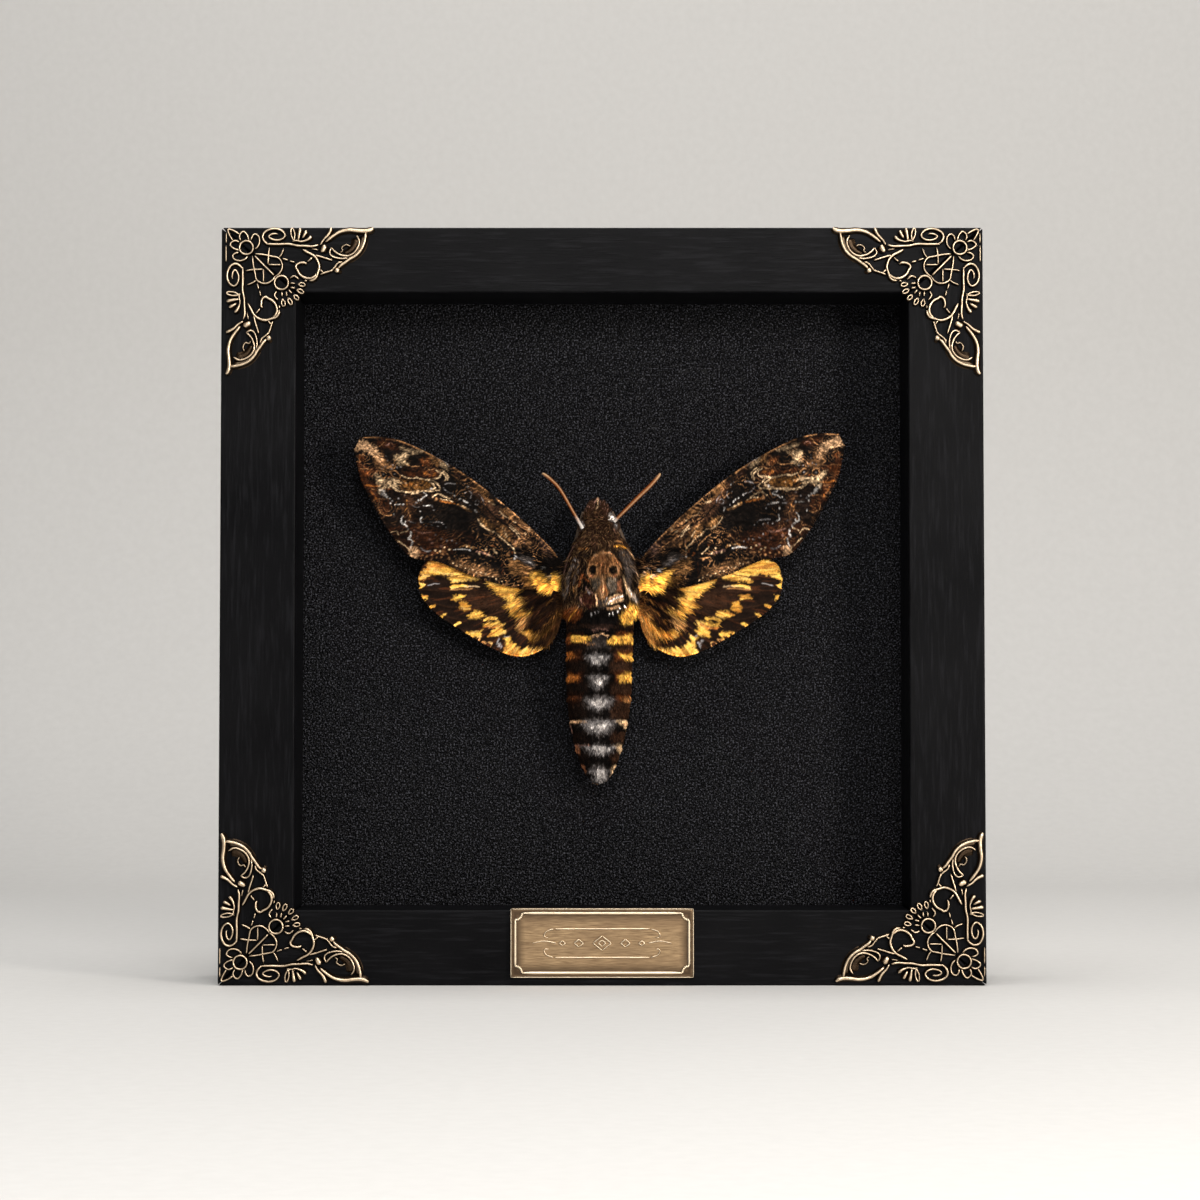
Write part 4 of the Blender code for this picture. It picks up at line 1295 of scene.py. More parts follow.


# On the thorax the soot and bistre areas on the left, and the rust patch where the right has a yellow one, draw the
# left side darker than the right: painted shade on the side away from the key lamp. The thin sand line down the right
# flank is a painted highlight.
THORAX_MARKS = drawn("""
area UMBER 3 560,532 644,532 644,625 558,625
area BISTRE 3*.7 568,556 582,550 582,578 576,592 567,590
area SOOT 3*.65 566,558 583,553 584,575 582,598 566,600 563,580
line GREY 1*.6 573,560 578,562 576,568 572,565
line GREY 1.1*.7 563,589 566,597
line SLATE 3.2 571,566 568.6,580 566,594
line SLATE 2.2*.8 577,570 574,584
area BISTRE 3*.6 580,534 618,534 624,548 578,548
area SLATE 1.8 617,553 624,550 631,560 635,570 632,584 627,586 622,575
area SOOT 1.2 631.5,569 635,573 636.4,584 635,591 632,588 631.6,578
line SAND 1.1*.75 627,549 633,557 638.4,564 639.4,570 636.6,575 638,583 639.6,594
line PINK 1*.4 577,544 571,551 566.6,562 565,574
line GOLD 1.7 614,546.4 619,545.8 625,547.8
line OCHRE 1.1 616,541 621,541.8
line BUFF 1.2 578.6,549 583,549.8
line BUFF 1.1 586,548.8 588.6,549
area SOOT 1.6 584,558 591,551.6 604,548.6 616,551 622,560 626,576 627,600 622,612 584,612 579,602 578,586
 582,572
area OLIVE 1.4*.85 588,564 593.4,557.4 598,553.4 604,551.4 610,552.6 615.6,558 620,566 620.4,577 614,580.6
 599,580 590,581 586.4,574
line TAN 1.5 588,566 593.4,558.6 598,555 603.8,552.7 606,553.2 612,554.6 616.6,560.7 620.6,567.7
spots SAND 1.1 603.6,553 608.8,552.8 595,556
line OCHRE 1.3 611.6,556 613,563
line UMBER 1.2 602.8,557 602.2,566 602.8,576
line UMBER 1 597.6,559 599.2,566
line UMBER 1 608.4,558 607,565
line TAN 1 600.6,561 600.4,569 601,575
line TAN 1 605.2,560 605,568 604.6,575
area RUST 2.5*.35 588,561 604,553 618,561 619,572 604,578 589,574
ring TAN 2.1 592.9,571.4 5.1,1.25
ring TAN 2 613.2,571 5,1.3
area SOOT .5 589.2,567.4 593,565.6 596.9,567.4 596.6,571.6 594.4,575.2 591.2,575.4 589,571.6
area SOOT .5 608.8,567 613,565.2 617.6,567.4 617.2,572.6 614.2,576 610.8,574.8 608.8,571
spots SALMON 1.6 614.4,576.6 591.4,576.8
line SAND 1 617,567 617.6,573
line SAND 1 587,569 588,575
area SAGE 1.6*.45 591,579.6 600.4,579.4 600.2,588 597,591 591.6,588
area SAGE 1.6*.85 607,580 616,578.6 617.6,588 614,593 609.4,593 606.4,586
area TAN 1*.85 601.6,576 604.4,576 605,585 608.4,592 606.6,600 599.4,600 596.8,592 601.2,585
line SAND 1.2 603,577 603,587 602.4,596
line RUST .9 604.6,586 606,597
line RUST .9 600.6,587 599.6,596
line RUST 1.8 583.4,575 580.6,580 579.4,586
line OLIVE 1.3 577.6,585 576.4,589 575,594
line BUFF 1 574.6,587 573,592
area SOOT 1 584,582 592,583 593,593 584,594
line RUST 1.1 585.4,578 587.6,581 590,582.6
area SALMON 1 616.8,583 620.4,580 622.4,585 622.4,591 617.4,591.4
area CREAM .8 623,577.6 625.4,579 627.4,585 630.6,590 636,597 635,601 630,597 626.4,591 624.8,585
spots SOOT 1 624,583.4
line WHITE 1.2 628,588 632,594
area GREY 1 631,596 635,596 638.4,601.6 634.6,603
area MAROON 1.4 580.8,594 590,592.6 598,594.6 598.4,606 590,607.8 582,606
line PINK 1.5 579.6,597.4 581,601 582.6,604
line CREAM 1.5 596,595 597.4,600 596.6,606
line PINK 1.2 585,589 590,591.6 594,595
line GREY 1.3 586.4,590.6 589.6,594
line SAND 1.2 599.6,590 602.6,600 604,606
line GREY 1.4 604.6,603 607,598.6
area SLATE 1.2*.6 598.6,600 606.4,599.6 606.6,609 598.8,609
area SAND 1.2 606,604 610,597.6 616,593.6 622.4,594 622.6,600 617,603 611,605
line CREAM 1.7 606.4,604 611,597.6 618,594
line WHITE 2 609,603.4 615,599 622,595.6
line CREAM 1.7 611,604.6 617,602 622.6,599.4
line RUST .9 608,602.4 612.6,599 618,596
line SOOT 1.3 607,605.2 614,605.4 621,604
line SAND 2.2 607.4,608.8 613,608.4 619,606.8
area SOOT 1.6 568,617 584,611.4 604,610.6 620,610.4 617,624.6 569,625
spots WHITE .8 609.2,613.8 612.9,613.2 616.9,612 619,608.6 624.2,606.9
spots GREY .8 591,614.2 594.6,613 598,611.7 579,607
area BISTRE 2 566,625.6 632,625.6 632,633 566,633
area PINK 2*.4 588,626.4 613,626 612,632 590,632
area YELLOW 1.6 619.6,617 624,609.4 630,604.8 640,603 641,612 635,621 627,624 621,622
area RUST 2*.8 563,609 574,607.4 582.4,609 581,617 573,620.6 563,619
line GOLD 1.3 577,609.4 572.6,613.6 569.6,618.6
""")

HEAD_MARKS = drawn("""
area UMBER 3 572,495 624,495 628,540 570,540
area BISTRE 3*.5 588,503 604,503 612,516 616,534 584,534 583,514
line PINK 1.5 597.6,498 594.4,503 592.4,508.4
line CREAM 1.3 597.8,498 597.8,503 596.8,508.6
line PINK 1.4 598,498 600.6,503 601.6,508.6
area WHITE .9 608.6,513 616,516.2 615.4,523.4 611.4,521.6 609.2,517
ring PINK 1.3 616.6,529 2.7,1
spots SOOT 1.7 616.6,529
""")


ABDOMEN_BOWL = ((-1.0, -0.55), (0.0, -0.95), (1.0, -0.55), (0.62, 0.45), (0.0, 1.0), (-0.62, 0.45))
BOWL_STATIONS = ((598, 659, 12, 6), (598, 681, 9, 7.5), (598.5, 703, 15, 7), (598.5, 726, 18, 8),
                 (600, 749.5, 17, 6), (600, 776, 10, 10))
BOWL_LAYERS = ((Tint.SLATE, 1.15, 3.2, 0.75), (Tint.GREY, 0.85, 3.0, 0.85), (Tint.WHITE, 0.5, 2.6, 0.55))


def abdomen_marks() -> list[Mark]:
    """Returns the abdomen's bands, row by row from the thorax to the tail."""
    marks = [area(Tint.SOOT, 2, ((556, 626), (646, 626), (640, 800), (560, 800)))]
    # The left half is drawn darker than the right, rufous and umber against rust and bistre, and orange where the
    # right is yellow: painted shade on the side away from the key lamp.
    for row in (638.5, 654.5, 676.0, 696.5):
        marks += [area(Tint.RUST, 2.6, ((616, row - 6), (642, row - 7), (642, row + 7), (616, row + 5)), 0.7),
                  block(Tint.RUFOUS, 2.6, (556, row - 5), (582, row + 5), 0.5)]
    for low, high in ((645, 650), (660, 671), (682, 694), (700, 719), (731, 742), (753, 762)):
        marks += [block(Tint.BISTRE, 2.4, (611, low), (632, high)),
                  block(Tint.UMBER, 2.4, (566, low), (588, high), 0.7)]
    marks += drawn("""
area YELLOW .9 606,643.4 607,640 613,636.8 622,636 628,633 640,632 640,643.4 625,642.6 614,644
area YELLOW .9 570.6,634.4 580.4,635.4 589.6,636.6 591.4,640 582,641.8 571,641.4
line TAN 1.2 583,642 590,643.6 595,643
area RUST 1.2 556,633 570.4,633 571,641.4 556,642
line SAND 1.5 591,638 595,635 598,636 601.4,633 604,635 608,636
line PINK 1.6*.7 593,630 600,628 608,630
area SLATE 1.8*.8 592,640 599,635 606,640 610,648 588,648
area YELLOW .9 618,652 624,653.6 640,649.6 640,659.2 627,659.6 620,656.6
area ORANGE 1.2*.85 556,650.6 573,651.6 576,653.6 571,658 556,658.4
area YELLOW 1.2 624,671.6 640,669 640,682 619,681 618,676.5
area ORANGE 1.3*.7 556,672 572,673 579,676 577,680 556,681.6
area OCHRE 1*.85 621,697.6 628,695.8 640,694.4 640,701.6 624,701
area CREAM .8 614,720.6 622,719.6 634,719 632,727 628.4,733 626.6,728 621,723.4
line SAND 1.9 562,720.6 576,720.4 586,721.6
line PINK 2.2 567.6,721 570,725 571.6,731
area CREAM .8 612,745.4 618,743.8 628,743.6 625,752 621,758.4 619,752 616,747.6
line PINK 1.8 573,743 581,745 590,744
area SALMON .9 570,743.6 577,744 580,748 580,754 575,752
area CREAM .8 610.6,767.6 618,763 616,770 611,776
area SALMON .9 578,763 585,767 586,772 583,774
line RUFOUS 2 590,786 600,789 608,784
""")
    for middle, row, wide, tall in BOWL_STATIONS:
        for tint, share, soft, strength in BOWL_LAYERS:
            marks.append(area(tint, soft, tuple((middle + wide * share * x, row + tall * share * y)
                                                for x, y in ABDOMEN_BOWL), strength))
    return marks


MASK_MIDDLE = (604.0, 582.0)
MASK_REACH = (23.0, 33.0)
MAP_PATCH = 0.003
COAT_SHADE = (0.45, 0.45, 0.5, 0.95, 0.95, 1.0, 1.25)
WING_SHADE = (0.7, 0.7, 0.75, 1.0, 1.0, 1.0, 1.2)
PALP_SHADE = (0.5, 0.5, 0.55, 0.95, 0.95, 1.0, 1.2)
TUFT_PATCH = np.array([(0, 0), (1, 0), (0.5, 0.15), (0.1, 0.6), (0.9, 0.6), (0.5, 0.7), (0.5, 1.0)]) * MAP_PATCH
TUFT_FACES = np.array([(0, 1, 4), (0, 4, 3), (1, 2, 5), (1, 5, 4), (2, 0, 3), (2, 3, 5), (3, 4, 6), (4, 5, 6),
                       (5, 3, 6), (0, 2, 1)])


def grow_tufts(roots: Array, facing: Array, lie: Array, length: Array, width: Array,
               rise: Array) -> tuple[Array, Array]:
    """Builds closed three-sided tufts, seven vertices each.

    Args:
        roots: Where each tuft grows.
        facing: The skin's direction there.
        lie: The direction that the coat lies in there.
        length: Each tuft's length.
        width: Each tuft's width at its root.
        rise: How far each tuft stands off, in radians.

    Returns:
        The vertices and the triangles.
    """
    across = unit(np.cross(facing, lie))
    start = lie * np.cos(rise * 1.3)[:, None] + facing * np.sin(rise * 1.3)[:, None]
    end = lie * np.cos(rise * 0.5)[:, None] + facing * np.sin(rise * 0.5)[:, None]
    middle = roots + start * (length * 0.5)[:, None]
    tip = middle + end * (length * 0.5)[:, None]
    foot = roots - facing * 0.08
    half, tall = (width * 0.5)[:, None], (width * 0.45)[:, None]
    rows = np.stack([foot - across * half, foot + across * half, foot + facing * tall, middle - across * half * 0.8,
                     middle + across * half * 0.8, middle + facing * tall * 0.8, tip], axis=1)
    faces = TUFT_FACES[None] + 7 * np.arange(len(roots))[:, None, None]
    return rows.reshape(-1, 3), faces.reshape(-1, 3)


def shaded(colour: Array, shade: Sequence[float]) -> Array:
    """Returns the colours of the tufts' vertices, darker at the root: one or seven are given for each tuft."""
    return (colour * np.array(shade)[None, :, None]).reshape(-1, 3)


def unwrap_tufts(mesh: bpy.types.Mesh, spots_on_map: Array) -> None:
    """Stores a small patch of the bake map for each tuft, at one place from 0 to 1 for each."""
    unwrap(mesh, ((spots_on_map * 0.99 + MAP_PATCH)[:, None, :] + TUFT_PATCH[None]).reshape(-1, 2))


@dataclass(frozen=True)
class Fur:
    """One layer of the coat: where it grows and how its tufts look."""

    name: str
    slot: str
    seed: int
    low: float
    high: float
    count: int
    length: float
    width: float
    lift: float
    contrast: float
    hold: float
    pale: float
    swirl: float = 0.0


FURS = (
    Fur("thorax_coat", "body_fur", 31, 86.5, 105.5, 19500, 1.0, 0.14, 0.34, 0.55, 0.85, 0.12),
    Fur("thorax_hair", "body_fur", 33, 87.5, 106.0, 9500, 1.8, 0.18, 0.34, 0.85, 0.8, 0.26, 1.0),
    Fur("abdomen_coat", "banded_fur", 37, 47.0, 88.0, 19500, 0.9, 0.15, 0.15, 0.45, 0.3, 0.0),
    Fur("head_coat", "body_fur", 41, 104.5, 113.6, 6500, 0.9, 0.14, 0.36, 0.55, 0.85, 0.14),
    Fur("head_hair", "body_fur", 43, 103.5, 112.6, 4000, 1.35, 0.17, 0.42, 0.85, 0.8, 0.3, 1.3),
)
BAND_ROWS = (650.0, 671.0, 694.5, 717.5, 742.0, 763.5)


@dataclass
class Coat:
    """The moth's body: one skin, and the tufts of its coat."""

    trunk: Trunk
    seed: int = 11
    rings: int = 300
    sides: int = 120
    lowest: float = 46.75
    highest: float = 113.9
    shown_above: float = 2.0
    widest: float = 9.2
    back_share: float = 0.45
    belly_to: float = 86.5
    thorax_from: float = 86.0
    neck_from: float = 99.5
    pale_from: float = 88.0
    head_from: float = 106.0
    head_turn: float = 5.0
    relief: float = 0.12
    cap_drop: float = 0.3
    cap_rise: float = 0.15
    skin_shade: float = 0.75
    shown_from: float = 50.0
    shown_over: float = 8.0
    behind_over: float = 1.2

    def marking(self, places: Array) -> Array:
        """Returns the body's colour at places in millimetres."""
        chart = to_chart(places[:, 0], places[:, 2])
        chart[:, 1] -= self.shown_above * held((places[:, 2] - self.shown_from) / self.shown_over)
        front = Painter(chart, Tint.UMBER, self.seed, 0.6, broken=0.5)
        front.lay(HEAD_MARKS)
        front.lay(THORAX_MARKS)
        front.lay(abdomen_marks())
        front.colour *= 1 + 0.2 * held((front.colour[:, :1] - 0.35) * 5)
        front.colour *= 1 + 0.35 * held((front.colour[:, 2:] - 0.2) * 5)
        rear = np.tile(Tint.UMBER.light, (len(places), 1))
        belly = places[:, 2] < self.belly_to
        rear[belly] = Tint.BUFF.light
        for row in BAND_ROWS:
            edge = np.exp(-(((chart[:, 1] - row) / 3.0) ** 2))[:, None] * belly[:, None]
            rear = rear * (1 - edge) + Tint.UMBER.light * edge
        behind = held((places[:, 1] - BODY_DEPTH) / self.behind_over)[:, None]
        colour = front.colour * (1 - behind) + rear * behind
        strokes = chart * (1.0, 0.22) + 2.0 * noise(chart, 7.0, self.seed + 6)[:, None]
        mottle = 0.25 * noise(places, 0.8, self.seed + 3) + 0.45 * noise(strokes, 1.2, self.seed + 4)
        return colour * np.exp(np.clip(mottle, -0.9, 0.6))[:, None]

    def skin(self) -> None:
        """Builds the one skin under the coat."""
        height = np.linspace(self.lowest, self.highest, self.rings)
        angle = np.linspace(-math.pi, math.pi, self.sides + 1)
        grid_h, grid_a = np.meshgrid(height, angle, indexing="ij")
        places = self.trunk.surface(grid_h.ravel(), grid_a.ravel())
        lumps = self.relief * noise(places, 1.6, 5)[:, None]
        places += self.trunk.normal(grid_h.ravel(), grid_a.ravel()) * lumps
        rows = places.reshape(self.rings, self.sides + 1, 3)
        rows[:, -1] = rows[:, 0]
        soup = Soup()
        soup.add(rows.reshape(-1, 3), grid_faces(self.rings, self.sides + 1))
        low = rows[0, :-1].mean(0) - (0, 0, self.cap_drop)
        high = rows[-1, :-1].mean(0) + (0, 0, self.cap_rise)
        fan = np.arange(self.sides)
        last = (self.rings - 1) * (self.sides + 1)
        count = soup.count
        soup.add(np.array([low, high]), np.stack([fan + 1 - count, fan - count, np.zeros_like(fan)], axis=1),
                 np.stack([fan + last - count, fan + last + 1 - count, np.ones_like(fan)], axis=1))
        mesh = soup.mesh("body_skin")
        everywhere = np.vstack(soup.places)
        paint(mesh, self.marking(everywhere) * self.skin_shade)
        flat = np.stack([(grid_a.ravel() + math.pi) / (2 * math.pi),
                         (grid_h.ravel() - self.lowest) / (self.highest - self.lowest)], axis=1)
        unwrap(mesh, np.vstack([flat * 0.98 + 0.01, [[0.5, 0.002], [0.5, 0.998]]]))
        piece(mesh, Scales("body_scales", 4.5, 0.08, 0.55).material(), ("head", "thorax", "abdomen"))

    def tufts(self, fur: Fur, back: bool) -> None:
        """Covers a part of the body with one layer of tufts.

        Args:
            fur: The tufts' sizes and where they grow.
            back: True on the side that faces the board.
        """
        chance = np.random.default_rng(fur.seed)
        half = math.pi / 2
        arc = (half, 3 * half) if back else (-half - 0.15, half + 0.15)
        height = chance.uniform(fur.low, fur.high, fur.count * 2)
        wide = profile(BODY_STATIONS, 1, height)
        kept = chance.uniform(0, self.widest, len(height)) < wide + 0.6
        height = height[kept][:int(fur.count * (self.back_share if back else 1))]
        angle = chance.uniform(arc[0], arc[1], len(height))
        roots = self.trunk.surface(height, angle)
        facing = self.trunk.normal(height, angle)
        chart = to_chart(roots[:, 0], roots[:, 2])
        free = held((np.linalg.norm((chart - MASK_MIDDLE) / MASK_REACH, axis=1) - 0.85) * 4)
        if not fur.swirl:
            free = np.ones(len(height))
        thorax = height > self.thorax_from
        lie = self.lie(fur, height, angle, roots, facing, free, chance)
        flank = held((np.abs(np.sin(angle)) - 0.75) * 4) * thorax * held((self.neck_from - height) / 3)
        size = fur.length * chance.uniform(0.6, 1.3, len(height)) * (1 + 0.25 * noise(roots, 1.5, fur.seed + 2))
        size = size * (0.38 + 0.62 * free) * (1 + 0.4 * flank)
        thick = fur.width * chance.uniform(0.7, 1.25, len(height))
        neck = held((np.abs(np.sin(angle)) - 0.6) * 2.5) * held((height - self.neck_from) / 3)
        size, free = size * (1 - 0.15 * neck), free * (1 - 0.15 * neck)
        rise = fur.lift * chance.uniform(0.4, 1.6, len(height)) * (0.4 + 0.6 * free) + 0.22 * flank
        places, faces = grow_tufts(roots, facing, lie, size, thick, rise)
        name = f"{fur.name}_{'back' if back else 'front'}"
        soup = Soup()
        soup.add(places, faces)
        mesh = soup.mesh(name)
        seen = roots[:, None] + fur.hold * (places.reshape(-1, 7, 3)[:, (0, 5, 6)] - roots[:, None])
        colour = self.colours(fur, back, height, seen, free, chance)
        paint(mesh, shaded(colour[:, (0, 0, 0, 1, 1, 1, 2)], COAT_SHADE))
        unwrap_tufts(mesh, np.stack([(angle - arc[0]) / (arc[1] - arc[0]),
                                     (height - fur.low) / (fur.high - fur.low)], axis=1))
        piece(mesh, Hair(name + "_hair").material())

    def colours(self, fur: Fur, back: bool, height: Array, seen: Array, free: Array,
                chance: np.random.Generator) -> Array:
        """Colours tufts by the marking under them, each a little apart from the next, and some of them pale.

        Args:
            fur: The layer that the tufts belong to.
            back: True on the side that faces the board.
            height: Their heights.
            seen: Three places for each tuft, from its root to its tip, whose marking it shows.
            free: How far each one is free to swirl, from 0 to 1.
            chance: The layer's random draws.

        Returns:
            Three linear colours for each tuft.
        """
        colour = self.marking(seen.reshape(-1, 3)).reshape(-1, 3, 3)
        change = (chance.normal(-0.25, fur.contrast, len(height)) + 0.35 * (1 - free)) * (0.7 + 0.3 * free)
        colour = colour * np.exp(change)[:, None, None]
        pale = (chance.uniform(0, 1, len(height)) < fur.pale) * chance.uniform(0.2, 0.75, len(height)) * free
        pale = (pale * (height > self.pale_from) * (not back))[:, None, None]
        pale = pale * (1 - 0.75 * self.upward(height))[:, None]
        light = Tint.OLIVE.light * chance.uniform(0.4, 3.2, (len(height), 1))
        return colour * (1 - pale) + light[:, None] * pale

    def upward(self, height: Array) -> Array:
        """Returns how far the coat turns toward the head's top, from 0 to 1."""
        return held((height - self.head_from) / self.head_turn)[:, None]

    def lie(self, fur: Fur, height: Array, angle: Array, roots: Array, facing: Array, free: Array,
            chance: np.random.Generator) -> Array:
        """Finds the direction that each tuft lies in along the skin.

        Args:
            fur: The layer that the tufts belong to.
            height: Their heights.
            angle: Their angles about the body.
            roots: Where they grow.
            facing: The skin's direction there.
            free: How far each one is free to swirl, from 0 to 1.
            chance: The layer's random draws.

        Returns:
            One direction for each tuft.
        """
        none, up = np.zeros(len(angle)), self.upward(height)
        down = np.array([0.0, 0.0, -1.0]) * (1 - up) + np.array([0.0, -0.35, 0.8]) * up
        sideways = np.column_stack([np.sin(angle) * 0.35, none, none]) * (height > self.thorax_from)[:, None]
        parting = noise(roots, 2.2, fur.seed + 1)[:, None] * np.array([0.35, 0, 0.12])
        swirl = (fur.swirl * free)[:, None] * noise(roots, 1.7, fur.seed + 7, 1)[:, None] * np.array([1.0, 0, 0.2])
        lie = unit(down + sideways + (parting + swirl) + chance.normal(0, 0.13, (len(angle), 3)))
        return unit(lie - facing * (lie * facing).sum(1, keepdims=True))

    def build(self) -> None:
        """Builds the skin and every layer of the coat."""
        self.skin()
        for back in (False, True):
            for fur in FURS:
                self.tufts(fur, back)


FORE_LEADING = ((9.7, 99.6), (12.4, 103.2), (21.6, 112.0), (33.0, 120.9), (44.8, 127.4), (51.5, 129.2), (56.7, 129.1))
FORE_TRAILING = ((9.7, 92.4), (20.0, 93.2), (30.0, 96.0), (38.0, 99.4), (45.0, 101.0), (50.0, 107.2), (53.5, 113.2),
                 (56.3, 119.2), (57.9, 126.4))
HIND_LEADING = ((9.2, 93.4), (20.0, 97.8), (30.0, 100.2), (38.0, 100.7), (42.0, 98.3), (43.3, 95.0))
HIND_TRAILING = ((9.2, 86.6), (10.7, 81.7), (14.0, 78.4), (19.0, 76.8), (24.5, 78.3), (31.0, 81.8), (38.2, 86.4),
                 (41.6, 89.8), (42.9, 92.6))
FORE_VEINS = (
    ((552, 566), (500, 521), (440, 466), (392, 441), (366, 440)),
    ((552, 568), (505, 532), (462, 505), (420, 476), (372, 452)),
    ((462, 505), (425, 487), (380, 466), (362, 458)),
    ((475, 512), (430, 500), (386, 486), (366, 474)),
    ((478, 515), (436, 510), (392, 503), (372, 493)),
    ((482, 521), (444, 524), (400, 522), (380, 515)),
    ((486, 530), (450, 540), (410, 543), (392, 536)),
    ((495, 545), (460, 556), (425, 562), (408, 559)),
    ((550, 575), (510, 578), (470, 578), (430, 567)),
)
HIND_VEINS = (
    ((556, 592), (510, 586), (460, 580), (424, 577)), ((556, 594), (508, 594), (458, 594), (420, 592)),
    ((540, 596), (500, 606), (456, 610), (428, 604)), ((536, 598), (500, 614), (466, 622), (442, 618)),
    ((534, 600), (504, 622), (480, 634), (462, 632)), ((538, 602), (515, 626), (497, 642), (486, 645)),
    ((545, 604), (528, 630), (517, 650), (512, 656)), ((552, 606), (543, 628), (534, 648), (530, 655)),
)

